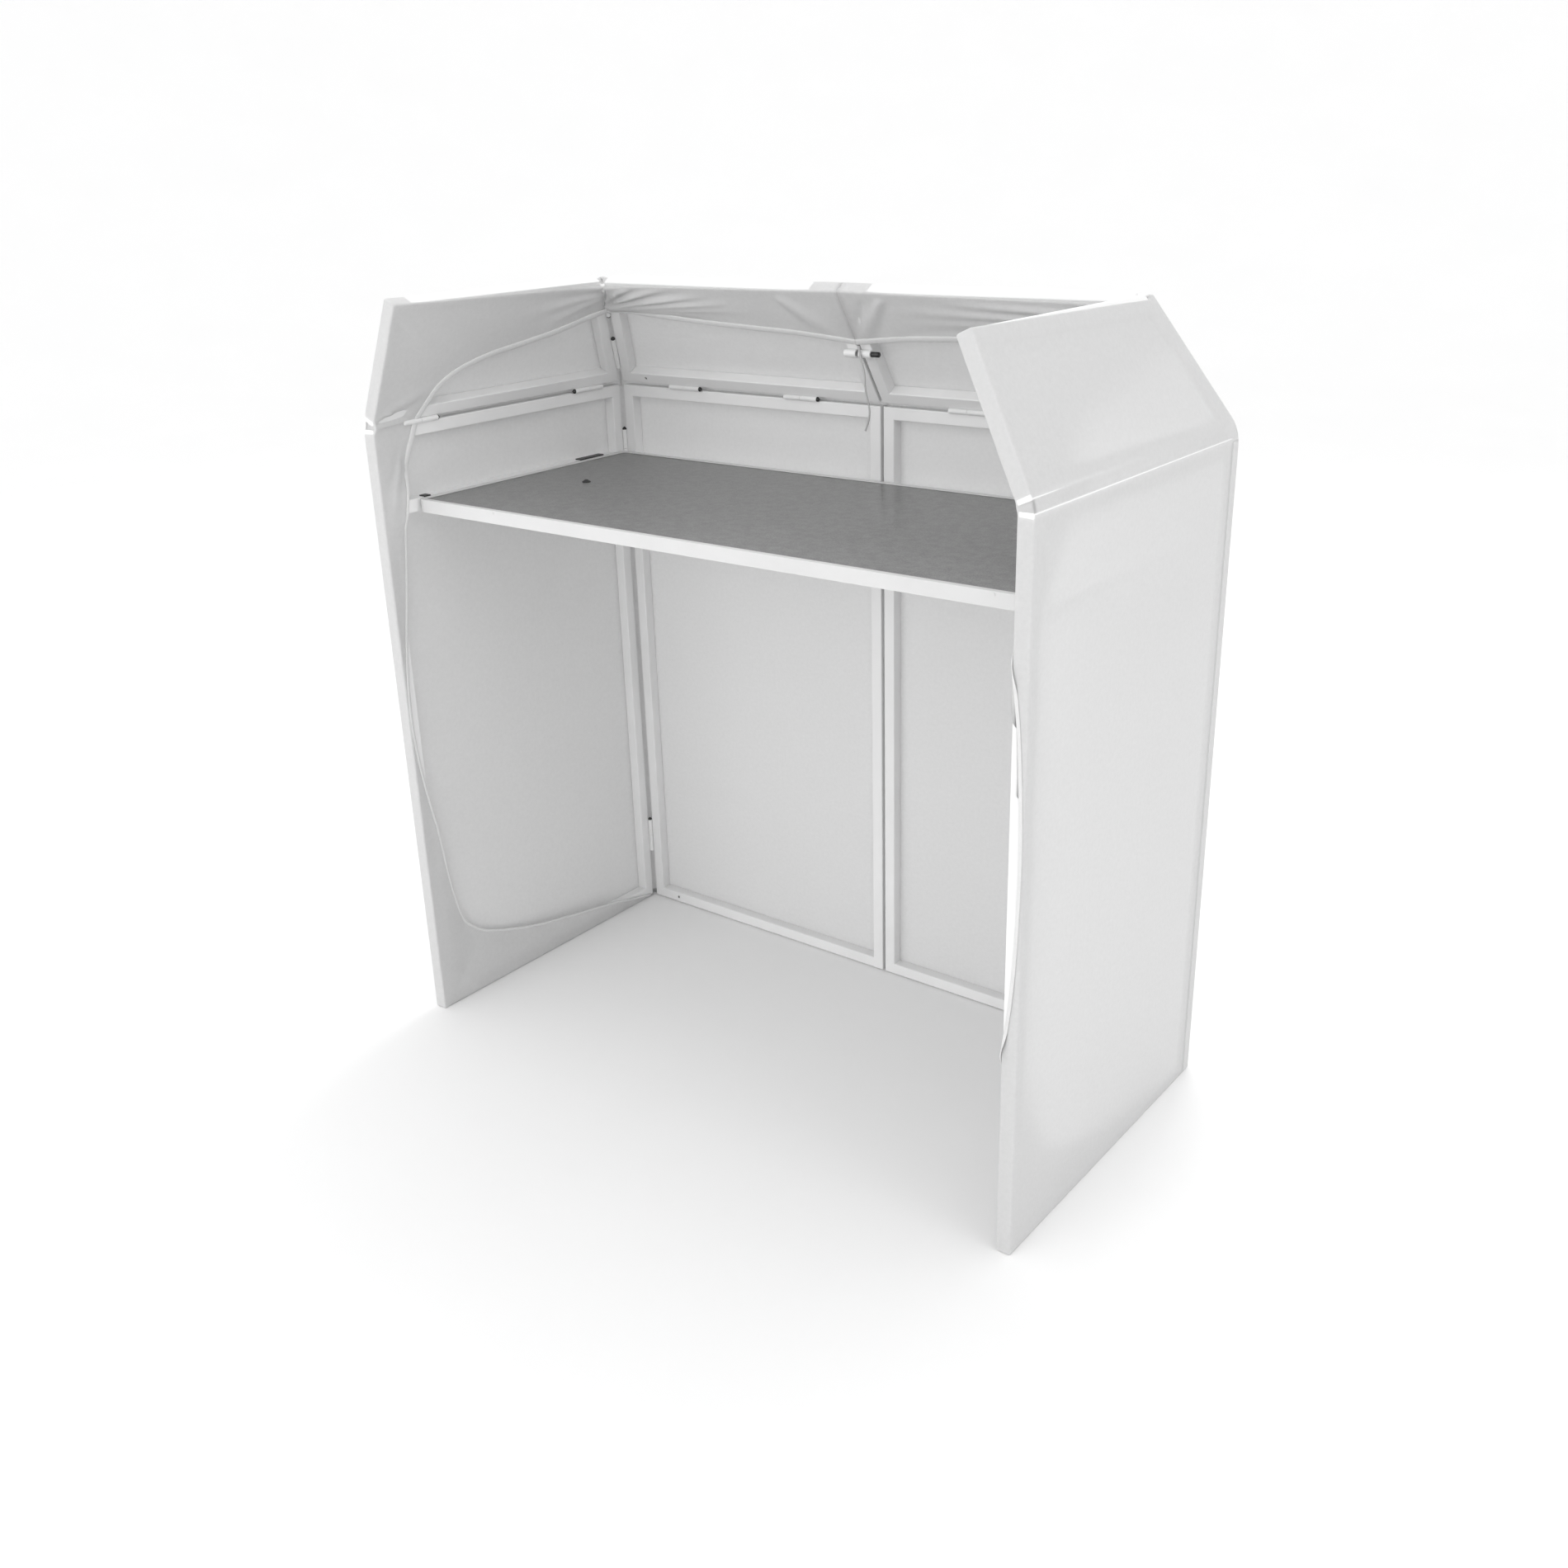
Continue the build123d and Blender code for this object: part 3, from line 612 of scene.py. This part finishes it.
def side_face(d, h, lift=0.0):
    """A side panel's surface and normal: d > 0 lies on its inner face, d < 0 on its front."""
    d, h = np.asarray(d, float), np.asarray(h, float)
    angle = np.clip((EDGE_R - d) / (2 * EDGE_R), 0, 1) * math.pi / 2
    u = FRONT + SKIN - np.where(
        d > EDGE_R, d, np.where(d < -EDGE_R, 0, EDGE_R * (1 - np.sin(angle)))
    )
    w = W_IN + np.where(d > EDGE_R, 0, np.where(d < -EDGE_R, -d, EDGE_R * (1 - np.cos(angle))))
    w = w + hollow(d, h) + lift
    normal = SIDE[0].along * np.sin(angle)[..., None] - mixed(SIDE[0].out, SIDE[1].out, h) * np.cos(
        angle
    )[..., None]
    return across(SIDE, u, h, w), normal


def side_cloth(name, front_route, folds, right=False):
    wall = Wall(SIDE, SIDE_WAY, BACK_WAY, FRONT + SKIN - EDGE_R, FRONT, STEP)
    lower, upper = SIDE
    cloth = Cloth()
    # Below the seam the sheet starts at its own frame; the corner strip joins the two walls
    cloth.patch(wall.main[: SEAM_ROW + 1, 1:], wall.backed[: SEAM_ROW + 1, 1:])
    cloth.patch(wall.main[SEAM_ROW:], wall.backed[SEAM_ROW:])
    cloth.patch(wall.strip[SEAM_ROW:], 1.0)
    border = Border()
    border.run(*top_edge(wall, upper))
    border.turn(wall.main[-1, -1], upper.up, upper.along, upper.out)
    border.run(wall.main[::-1, -1], lower.along, wall.out[::-1])
    border.turn(wall.main[0, -1], lower.along, -lower.up, lower.out)
    border.run(wall.main[0, :0:-1], -lower.up, lower.out)
    points, edge_way, out_way = border.joined()
    front, low_turn = border.starts[2], border.starts[3]
    pinch = np.zeros(len(points))
    pinch[front:low_turn] = NOTCH * bell(wall.rows - AZ, NOTCH_HALF)[::-1]
    lift = MITRE_LIFT * bell(np.linalg.norm(points - points[0], axis=1), MITRE_EASE)
    lift[front:] = 0
    rings = wrapped(points, edge_way, out_way, pinch, lift)

    corner = HEM_CORNER - upper.origin
    across_corner = FRONT + SKIN - corner @ upper.along
    spots = [(across_corner, AZ + corner @ upper.up, corner @ upper.out - W_IN)]
    spots += [(d, AZ + v, 0) for d, v in HEM_UPPER]
    spots += [(d, h, 0) for d, h in front_route + HEM_BOTTOM]
    flat, keys = spline(spots)
    turned = len(HEM_UPPER)
    seam = (keys[turned] + keys[turned + 1]) // 2
    bottom = keys[turned + len(front_route) + 2]
    seam_point = low_turn - 1 - SEAM_ROW
    border_keys = [0, border.starts[1] - 1, seam_point, low_turn - 1, len(points) - 1]
    flat_at = matched(points, border_keys, flat, [0, keys[5], seam, bottom, len(flat) - 1])
    hem_at, _ = side_face(*flat_at.T)

    cut = (RING_PLACES[None] > flat_at[:, :1]) & (hem_at[:, 2] < AZ - 0.02)[:, None]
    rings = np.where(cut[..., None], hem_at[:, None], rings)
    is_high = (points[:, 2] > AZ).astype(float)
    creases = [(upper, folds, is_high), (lower, LOWER_FOLDS, 1 - is_high)]
    rows = flap_rows(rings[:, -1], hem_at, creases)
    # Between the tubes the flap sinks; on them it lies flat
    rel = rows - lower.origin
    d, h = FRONT + SKIN - rel @ lower.along, rows[..., 2]
    wanted = W_IN + hollow(d, h)
    is_low = ((h < AZ - TUBE) & (d > EDGE_R)) * (1 - is_high)[:, None]
    hem_depth = (W_IN + hollow(flat_at[:, 0], flat_at[:, 1]))[:, None]
    shift = wanted - hem_depth * FLAP - W_IN * (1 - FLAP)
    rows = rows + lower.out * (shift * is_low)[..., None]
    cloth.patch(np.concatenate([rings, rows], axis=1), 1.0)
    middle = lower.at(FRONT / 2, AZ / 2, W_OUT)
    piece = cloth.build(name, middle, lower.out, right)

    path, normals = side_face(*flat.T)
    near = bell(np.linalg.norm(path - HEM_CORNER, axis=1), NEAR_HEM)[:, None]
    normals = normals * (1 - near) + MITRE_IN * near
    roll = hem_roll(name.replace("cover", "hem"), path, normals, 11, right)
    return piece, roll


def back_cloth(name, folds, right=False):
    wall = Wall(BACK, BACK_WAY, SIDE_WAY, CENTRE_HALF, FRAME_GAP, BACK_STEP)
    lower, upper = BACK
    cloth = Cloth()
    # Below the seam the sheet starts at its own frame; the corner strip joins the two walls
    cloth.patch(wall.main[: SEAM_ROW + 1, 1:], wall.backed[: SEAM_ROW + 1, 1:])
    cloth.patch(wall.main[SEAM_ROW:], wall.backed[SEAM_ROW:])
    cloth.patch(wall.strip[SEAM_ROW:], 1.0)
    # Over the centre gap, the upper sheets reach the middle
    middle = across(BACK, 0.0, wall.rows, W_OUT) - wall.out * (
        SEAM_GROOVE * bell(wall.rows - AZ, GROOVE_HALF) + CENTRE_DIP
    )[:, None]
    cloth.patch(np.stack([wall.main[:, -1], middle], axis=1)[SEAM_ROW:], 1.0)
    border = Border()
    points, edge_way, out_way = top_edge(wall, upper)
    border.run(
        np.concatenate([points, middle[-1:]]),
        np.concatenate([edge_way, upper.up[None]]),
        np.concatenate([out_way, upper.out[None]]),
    )
    points, edge_way, out_way = border.joined()
    lift = MITRE_LIFT * bell(np.linalg.norm(points - points[0], axis=1), MITRE_EASE)
    rings = wrapped(points, edge_way, out_way, np.zeros(len(points)), lift)
    spots = [HEM_CORNER] + [upper.at(u, v, W_IN) for u, v in HEM_BACK]
    hem, keys = spline(spots)
    hem_at = matched(points, [0, len(points) - 1], hem, [0, len(hem) - 1])
    rows = flap_rows(rings[:, -1], hem_at, [(upper, folds, np.ones(len(points)))])
    cloth.patch(np.concatenate([rings, rows], axis=1), 1.0)
    # A short turn of the hem under the bottom edge
    base = wall.main[0, 1:]
    under = [base]
    for angle in ARC[1:]:
        way = lower.out * (math.cos(angle) - 1) - lower.up * math.sin(angle)
        under.append(base + way * EDGE_R)
    under.append(under[-1] - lower.out * UNDER)
    cloth.patch(np.stack(under, axis=1), 1.0)
    piece = cloth.build(name, lower.at(AX / 2, AZ / 2, W_OUT), lower.out, right)
    normals = np.repeat(-upper.out[None], len(hem_at), 0)
    near = bell(np.linalg.norm(hem_at - HEM_CORNER, axis=1), NEAR_HEM)[:, None]
    normals = normals * (1 - near) + MITRE_IN * near
    roll = hem_roll(name.replace("cover", "hem"), hem_at[::-1], normals[::-1], 21, right)
    return piece, roll


def bottom_turn(base, out_way):
    """Rows that carry a strip's bottom edge round and under."""
    rows = [base]
    for angle in ARC[1:]:
        turn = out_way * (math.cos(angle) - 1) - vec(0, 0, 1) * math.sin(angle)
        rows.append(base + turn * EDGE_R)
    rows.append(rows[-1] - out_way * UNDER)
    return np.stack(rows)


def corner_strip(name, right=False):
    """The fabric over a lower corner's open outside angle."""
    side = [ridge_curve(t, SIDE_WAY, BACK_WAY) for t in RIDGE_TAUS]
    back = [ridge_curve(t, BACK_WAY, SIDE_WAY) for t in RIDGE_TAUS]
    reach = FRAME_GAP + W_OUT - RIDGE_R
    flats = [reach, reach * 0.75, reach * 0.5, reach * 0.25]
    columns = [side[-1] + SIDE_WAY * d for d in flats] + side[::-1]
    columns += back[1:] + [back[-1] + BACK_WAY * d for d in flats[::-1]]
    grid = np.stack(columns, axis=1)[: SEAM_ROW + 1]
    groove = SEAM_GROOVE * bell(ROW_H[: SEAM_ROW + 1] - AZ, GROOVE_HALF)
    share = np.clip(np.linspace(-0.35, 1.35, grid.shape[1]), 0, 1)[:, None]
    outs = SIDE[0].out * (1 - share) + BACK[0].out * share
    outs /= np.linalg.norm(outs, axis=1, keepdims=True)
    grid = grid - outs[None] * groove[:, None, None]
    cloth = Cloth()
    cloth.patch(grid, 1.0)
    cloth.patch(bottom_turn(grid[0], outs), 1.0)
    middle = grid[len(grid) // 2, grid.shape[1] // 2]
    piece = cloth.build(name, middle, unit(POST_OUT), right)
    start, end = grid[5, 0], grid[5, -1]
    return piece, start, end


def centre_strip(name):
    """The fabric over the centre gap, which the hinge barrels push out."""
    rows = LOW_ROWS[: SEAM_ROW + 1]
    across_u = np.linspace(-1, 1, 13) * CENTRE_HALF
    grid = BACK[0].at(across_u[None], rows[:, None], W_OUT)
    groove = SEAM_GROOVE * bell(rows - AZ, GROOVE_HALF)
    barrels = [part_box("centre_barrels_left"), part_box("centre_barrels_right")]
    proud = max(b[1][1] for b in barrels) - AY - OUT_FACE
    hinges = (HINGE_LOW, AZ - FRAME_GAP - HINGE_HIGH)
    near = np.maximum(*(bell(rows - z, CENTRE_BULGE) ** 0.5 for z in hinges))
    rise = proud * smooth(near * 1.6)[:, None] * np.cos(across_u / CENTRE_HALF * math.pi / 2) ** 0.8
    grid = grid + BACK[0].out * (rise - groove[:, None])[..., None]
    cloth = Cloth()
    cloth.patch(grid, 1.0)
    cloth.patch(bottom_turn(grid[0], np.repeat(BACK[0].out[None], len(across_u), 0)), 1.0)
    piece = cloth.build(name, grid[20, 6], BACK[0].out)
    return piece


LOWER_FOLDS = [
    # (from, to, width, height): along the panel from the corner, and up it
    ((FRONT - 0.004, 0.004), (FRONT - 0.112, 0.112), 0.0035, 0.0016),
    ((FRONT - 0.050, 0.960), (FRONT - 0.004, 0.820), 0.0090, 0.0020),
]
SIDE_FOLDS = [
    ((0.105, 0.176), (0.30, 0.150), 0.008, 0.0022),
    ((0.105, 0.172), (0.26, 0.120), 0.009, 0.0018),
    ((FRONT - 0.004, 0.012), (FRONT - 0.115, 0.060), 0.007, 0.0035),
    ((FRONT - 0.004, 0.006), (FRONT - 0.080, 0.018), 0.006, -0.0030),
    ((FRONT - 0.010, 0.185), (FRONT - 0.130, 0.080), 0.010, 0.0010),
]
BACK_FOLDS = [
    ((0.498, 0.170), (0.380, 0.222), 0.0046, 0.0056),
    ((0.498, 0.168), (0.320, 0.210), 0.0048, 0.0070),
    ((0.498, 0.166), (0.240, 0.196), 0.0050, 0.0078),
    ((0.498, 0.164), (0.190, 0.182), 0.0052, 0.0076),
    ((0.498, 0.162), (0.170, 0.168), 0.0050, 0.0066),
    ((0.498, 0.160), (0.200, 0.155), 0.0048, 0.0052),
    ((0.498, 0.158), (0.280, 0.146), 0.0045, 0.0036),
    ((0.120, 0.200), (0.020, 0.118), 0.0150, 0.0030),
]
BACK_FOLDS_RIGHT = [
    ((0.492, 0.186), (0.130, 0.198), 0.0060, 0.0050),
    ((0.492, 0.178), (0.060, 0.180), 0.0070, 0.0058),
    ((0.492, 0.172), (0.070, 0.160), 0.0070, 0.0052),
    ((0.492, 0.166), (0.180, 0.145), 0.0065, 0.0040),
    ((0.075, 0.202), (0.010, 0.118), 0.0110, 0.0044),
    ((0.040, 0.200), (0.004, 0.118), 0.0060, -0.0026),
]

# ------------------------------------------------------------------ materials
def new_material(name, colour, roughness, **sockets):
    material = bpy.data.materials.new(name)
    material.use_nodes = True
    shader = material.node_tree.nodes["Principled BSDF"]
    shader.inputs["Base Color"].default_value = (*colour, 1)
    shader.inputs["Roughness"].default_value = roughness
    for key, value in sockets.items():
        shader.inputs[key.replace("_", " ")].default_value = value
    return material, material.node_tree, shader


def add_node(tree, kind, inputs=(), **settings):
    node = tree.nodes.new(kind)
    for key, value in settings.items():
        setattr(node, key, value)
    for key, value in dict(inputs).items():
        if isinstance(value, bpy.types.NodeSocket):
            tree.links.new(value, node.inputs[key])
        else:
            node.inputs[key].default_value = value
    return node


def place_of(tree):
    return add_node(tree, "ShaderNodeTexCoord").outputs["Object"]


def noise(tree, scale, detail=3.0, roughness=0.5, vector=None):
    return add_node(
        tree,
        "ShaderNodeTexNoise",
        {
            "Vector": vector or place_of(tree),
            "Scale": scale,
            "Detail": detail,
            "Roughness": roughness,
        },
    ).outputs["Fac"]


def ramp(tree, value, low, high, dark, light):
    node = add_node(tree, "ShaderNodeMapRange", {"Value": value, "From Min": low, "From Max": high})
    mix = add_node(tree, "ShaderNodeMix", data_type="RGBA")
    tree.links.new(node.outputs["Result"], mix.inputs["Factor"])
    mix.inputs[6].default_value = (*dark, 1)
    mix.inputs[7].default_value = (*light, 1)
    return mix.outputs[2]


def bump(tree, shader, height, strength, distance):
    node = add_node(
        tree,
        "ShaderNodeBump",
        {"Height": height, "Strength": strength, "Distance": distance},
    )
    tree.links.new(node.outputs["Normal"], shader.inputs["Normal"])


def math_node(tree, operation, *values):
    node = tree.nodes.new("ShaderNodeMath")
    node.operation = operation
    for socket, value in zip(node.inputs, values):
        if isinstance(value, bpy.types.NodeSocket):
            tree.links.new(value, socket)
        else:
            socket.default_value = value
    return node.outputs[0]


def paint(name, grey, roughness=0.42):
    """Powder coat: fine orange peel, faint unevenness in tone."""
    material, tree, shader = new_material(name, (grey,) * 3, roughness)
    tone = ramp(tree, noise(tree, 9.0), 0.35, 0.65, (grey * 0.965,) * 3, (grey,) * 3)
    tree.links.new(tone, shader.inputs["Base Color"])
    bump(tree, shader, noise(tree, 1100.0, 2.0), 0.12, 0.0002)
    return material


def knit(name, bare=0.855, backed=0.86):
    """Stretch knit: fine ribs, soft mottling, and a painted highlight that makes it lighter where a
    tube lies behind it, standing in for the light the white tube sends back through the cloth.
    """
    material, tree, shader = new_material(name, (backed,) * 3, 0.86, Sheen_Weight=0.25)
    place = place_of(tree)
    parts = add_node(tree, "ShaderNodeSeparateXYZ", {"Vector": place}).outputs
    across_ribs = math_node(tree, "ADD", parts[0], parts[1])
    ribs = math_node(tree, "SINE", math_node(tree, "MULTIPLY", across_ribs, 2 * math.pi / 0.0013))
    rows = math_node(tree, "SINE", math_node(tree, "MULTIPLY", parts[2], 2 * math.pi / 0.0010))
    weave = math_node(
        tree, "ADD", math_node(tree, "MULTIPLY", ribs, 0.5), math_node(tree, "MULTIPLY", rows, 0.35)
    )
    fuzz = math_node(tree, "MULTIPLY", noise(tree, 900.0, 2.0, 0.6, place), 1.4)
    bump(tree, shader, math_node(tree, "ADD", weave, fuzz), 0.16, 0.0004)
    # Painted highlight: the backed mask lifts the colour from the bare tone to the lighter backed tone
    # where a tube lies behind the cloth
    mask = add_node(tree, "ShaderNodeAttribute", attribute_name="backed").outputs["Fac"]
    tone = ramp(tree, mask, 0.0, 1.0, (bare,) * 3, (backed,) * 3)
    mottle = ramp(tree, noise(tree, 160.0, 4.0, 0.65, place), 0.3, 0.7, (0.955,) * 3, (1.0,) * 3)
    mix = add_node(tree, "ShaderNodeMix", data_type="RGBA", blend_type="MULTIPLY")
    mix.inputs["Factor"].default_value = 1.0
    tree.links.new(tone, mix.inputs[6])
    tree.links.new(mottle, mix.inputs[7])
    tree.links.new(mix.outputs[2], shader.inputs["Base Color"])
    # Light comes through the stretched cloth
    through = add_node(tree, "ShaderNodeBsdfTranslucent", {"Color": mix.outputs[2]})
    blended = add_node(tree, "ShaderNodeMixShader", {0: 0.38})
    tree.links.new(shader.outputs[0], blended.inputs[1])
    tree.links.new(through.outputs[0], blended.inputs[2])
    tree.links.new(blended.outputs[0], tree.nodes["Material Output"].inputs["Surface"])
    return material


def elastic(name, grey=0.74):
    """Hem elastic: the same yarn in tight cross ribs."""
    material, tree, shader = new_material(name, (grey,) * 3, 0.8, Sheen_Weight=0.3)
    place = place_of(tree)
    tone = ramp(tree, noise(tree, 220.0, 3.0, 0.6, place), 0.3, 0.7, (grey * 0.95,) * 3, (grey,) * 3)
    tree.links.new(tone, shader.inputs["Base Color"])
    parts = add_node(tree, "ShaderNodeSeparateXYZ", {"Vector": place}).outputs
    total = math_node(tree, "ADD", math_node(tree, "ADD", parts[0], parts[1]), parts[2])
    ribs = math_node(tree, "SINE", math_node(tree, "MULTIPLY", total, 2 * math.pi / 0.0016))
    bump(tree, shader, ribs, 0.22, 0.0004)
    return material


def laminate(name):
    """Grey mottled laminate: cloudy patches under a fine fleck, semi-gloss."""
    material, tree, shader = new_material(name, (0.2,) * 3, 0.30)
    place = place_of(tree)
    clouds = noise(tree, 75.0, 6.0, 0.7, place)
    fleck = noise(tree, 420.0, 3.0, 0.7, place)
    mixed_value = math_node(
        tree, "ADD", math_node(tree, "MULTIPLY", clouds, 0.45), math_node(tree, "MULTIPLY", fleck, 0.55)
    )
    tone = ramp(tree, mixed_value, 0.40, 0.60, (0.125,) * 3, (0.250,) * 3)
    tree.links.new(tone, shader.inputs["Base Color"])
    rough = add_node(tree, "ShaderNodeMapRange", {"Value": clouds, "To Min": 0.26, "To Max": 0.38})
    tree.links.new(rough.outputs["Result"], shader.inputs["Roughness"])
    bump(tree, shader, fleck, 0.08, 0.0003)
    return material


def metal(name, grey, roughness):
    material, tree, shader = new_material(name, (grey,) * 3, roughness, Metallic=0.9)
    tone = ramp(tree, noise(tree, 300.0), 0.3, 0.7, (grey * 0.75,) * 3, (grey * 1.1,) * 3)
    tree.links.new(tone, shader.inputs["Base Color"])
    bump(tree, shader, noise(tree, 1400.0), 0.1, 0.0002)
    return material


FRAME_PAINT = paint("frame_paint", 0.88)
HINGE_PAINT = paint("hinge_paint", 0.86, 0.36)
TABLE_EDGE = paint("table_edge", 0.68, 0.33)
FABRIC = knit("cover_fabric")
HEM_FABRIC = elastic("hem_elastic")
LAMINATE = laminate("table_laminate")
BLACK = paint("hook_black", 0.028, 0.45)
PIN_STEEL = metal("pin_steel", 0.07, 0.42)
ZINC = metal("zinc", 0.6, 0.35)
BRAID = elastic("cord_fabric", 0.50)


def node_material(name):
    if name == "table_board":
        return LAMINATE
    if name in ("table_rim", "rim_rivets"):
        return TABLE_EDGE
    if name == "table_nuts":
        return ZINC
    if "hooks" in name or name == "table_bolts":
        return BLACK
    if "barrel" in name:
        return HINGE_PAINT
    if "pin" in name:
        return PIN_STEEL
    return FRAME_PAINT


for node_name, node in frame["nodes"].items():
    node.data.materials.clear()
    node.data.materials.append(node_material(node_name))


# ------------------------------------------------------------------ pieces of the cover
def dress(piece, material):
    piece.data.materials.clear()
    piece.data.materials.append(material)


for hand in ("left", "right"):
    right = hand == "right"
    sign = 1 if right else -1
    side, side_hem = side_cloth(
        f"cover_side_cloth_{hand}", HEM_FRONT_RIGHT if right else HEM_FRONT, SIDE_FOLDS, right
    )
    back, back_hem = back_cloth(
        f"cover_back_cloth_{hand}", BACK_FOLDS_RIGHT if right else BACK_FOLDS, right
    )
    for piece, roll, lower, upper, x, y in (
        (side, side_hem, f"side_{hand}", f"upper_side_{hand}", sign * AX, 0.0),
        (back, back_hem, f"back_{hand}", f"upper_back_{hand}", sign * AX / 2, AY),
    ):
        dress(piece, FABRIC)
        dress(roll, HEM_FABRIC)
        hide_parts(f"cover_{lower}", f"upper_cover_{lower}")
        for part in (piece, roll):
            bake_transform(part)
    strip, start, end = corner_strip(f"cover_corner_{hand}", right)
    dress(strip, FABRIC)
    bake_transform(strip)

centre = centre_strip("cover_centre")
dress(centre, FABRIC)
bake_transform(centre)


# ------------------------------------------------------------------ the drawcord
CORD_DIAMETER = 0.003
CORD_POINTS = (
    (0.0055, 0.1930, 1.09861),
    (0.0100, 0.1900, 1.08161),
    (0.0190, 0.1885, 1.06061),
    (0.0195, 0.1880, 1.03761),
    (0.0250, 0.1890, 1.01761),
    (0.0275, 0.1905, 0.99561),
    (0.0190, 0.1890, 0.97461),
)
cord_curve = bpy.data.curves.new("drawcord_line", "CURVE")
cord_curve.dimensions = "3D"
cord_line = cord_curve.splines.new("NURBS")
cord_line.points.add(len(CORD_POINTS) - 1)
for point, place in zip(cord_line.points, CORD_POINTS):
    point.co = (*place, 1)
cord_line.order_u = 3
cord_line.use_endpoint_u = True
cord_line.resolution_u = 12
cord_curve.bevel_depth = CORD_DIAMETER / 2
cord_curve.bevel_resolution = 4
cord_curve.use_fill_caps = True
cord = bpy.data.objects.new("drawcord_braid", cord_curve)
bpy.context.scene.collection.objects.link(cord)
cord_curve.materials.append(BRAID)
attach(cord, "upper_back_right")
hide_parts("drawcord")


# ------------------------------------------------------------------ floor, light, camera
def studio():
    # Paper that lies flat under the booth and sweeps up far away, on every side
    radii = np.concatenate([[0.0], np.linspace(1.0, 7.0, 7), np.linspace(7.6, 16.0, 15)])
    angles = np.linspace(0, 2 * math.pi, 65)
    heights = np.clip((radii - 7.0) / 9.0, 0, None) ** 2 * 9.0
    points = [(r * math.cos(a), r * math.sin(a), z) for r, z in zip(radii, heights) for a in angles]
    n = len(angles)
    faces = [
        (i * n + j, i * n + j + 1, (i + 1) * n + j + 1, (i + 1) * n + j)
        for i in range(len(radii) - 1)
        for j in range(n - 1)
    ]
    mesh = bpy.data.meshes.new("floor")
    mesh.from_pydata(points, [], faces)
    mesh.polygons.foreach_set("use_smooth", [True] * len(mesh.polygons))
    floor = bpy.data.objects.new("floor", mesh)
    bpy.context.scene.collection.objects.link(floor)
    material, tree, shader = new_material("floor_paper", (0.95,) * 3, 0.95)
    tone = ramp(tree, noise(tree, 2.0), 0.3, 0.7, (0.945,) * 3, (0.955,) * 3)
    tree.links.new(tone, shader.inputs["Base Color"])
    floor.data.materials.append(material)
    world = bpy.data.worlds.new("studio")
    bpy.context.scene.world = world
    world.use_nodes = True
    world.node_tree.nodes["Background"].inputs["Color"].default_value = (1, 1, 1, 1)
    world.node_tree.nodes["Background"].inputs["Strength"].default_value = 1.06
    for name, place, aim, size, power in (
        ("key", (3.2, -0.6, 2.0), (0.5, 0.0, 1.15), 1.2, 9),
        ("fill", (-0.8, -3.4, 1.3), (0, 0.3, 0.8), 2.0, 24),
        ("back", (-0.6, 2.6, 3.2), (0, 0.28, 0.9), 1.6, 30),
    ):
        lamp = bpy.data.lights.new(name, "AREA")
        lamp.size, lamp.energy = size, power
        light = bpy.data.objects.new(name, lamp)
        light.location = place
        way = Vector(aim) - Vector(place)
        light.rotation_euler = way.to_track_quat("-Z", "Y").to_euler()
        bpy.context.scene.collection.objects.link(light)


def camera():
    """A camera at the operator's right, above the table, looking down across the booth."""
    azimuth, elevation, roll = (math.radians(a) for a in (38.2, 22.2, -1.7))
    back_way = Vector(
        (
            math.sin(azimuth) * math.cos(elevation),
            -math.cos(azimuth) * math.cos(elevation),
            math.sin(elevation),
        )
    )
    right_way = (-back_way).cross(Vector((0, 0, 1))).normalized()
    up_way = right_way.cross(-back_way)
    right_roll = right_way * math.cos(roll) + up_way * math.sin(roll)
    up_roll = up_way * math.cos(roll) - right_way * math.sin(roll)
    data = bpy.data.cameras.new("camera")
    data.sensor_width = 36.0
    data.lens = 35.8
    data.clip_end = 100
    eye = bpy.data.objects.new("camera", data)
    turn = Matrix((right_roll, up_roll, back_way)).transposed()
    eye.matrix_world = Matrix.Translation((1.395, -1.786, 1.378)) @ turn.to_4x4()
    bpy.context.scene.collection.objects.link(eye)
    bpy.context.scene.camera = eye


studio()
camera()
bpy.context.scene.view_settings.view_transform = "Standard"
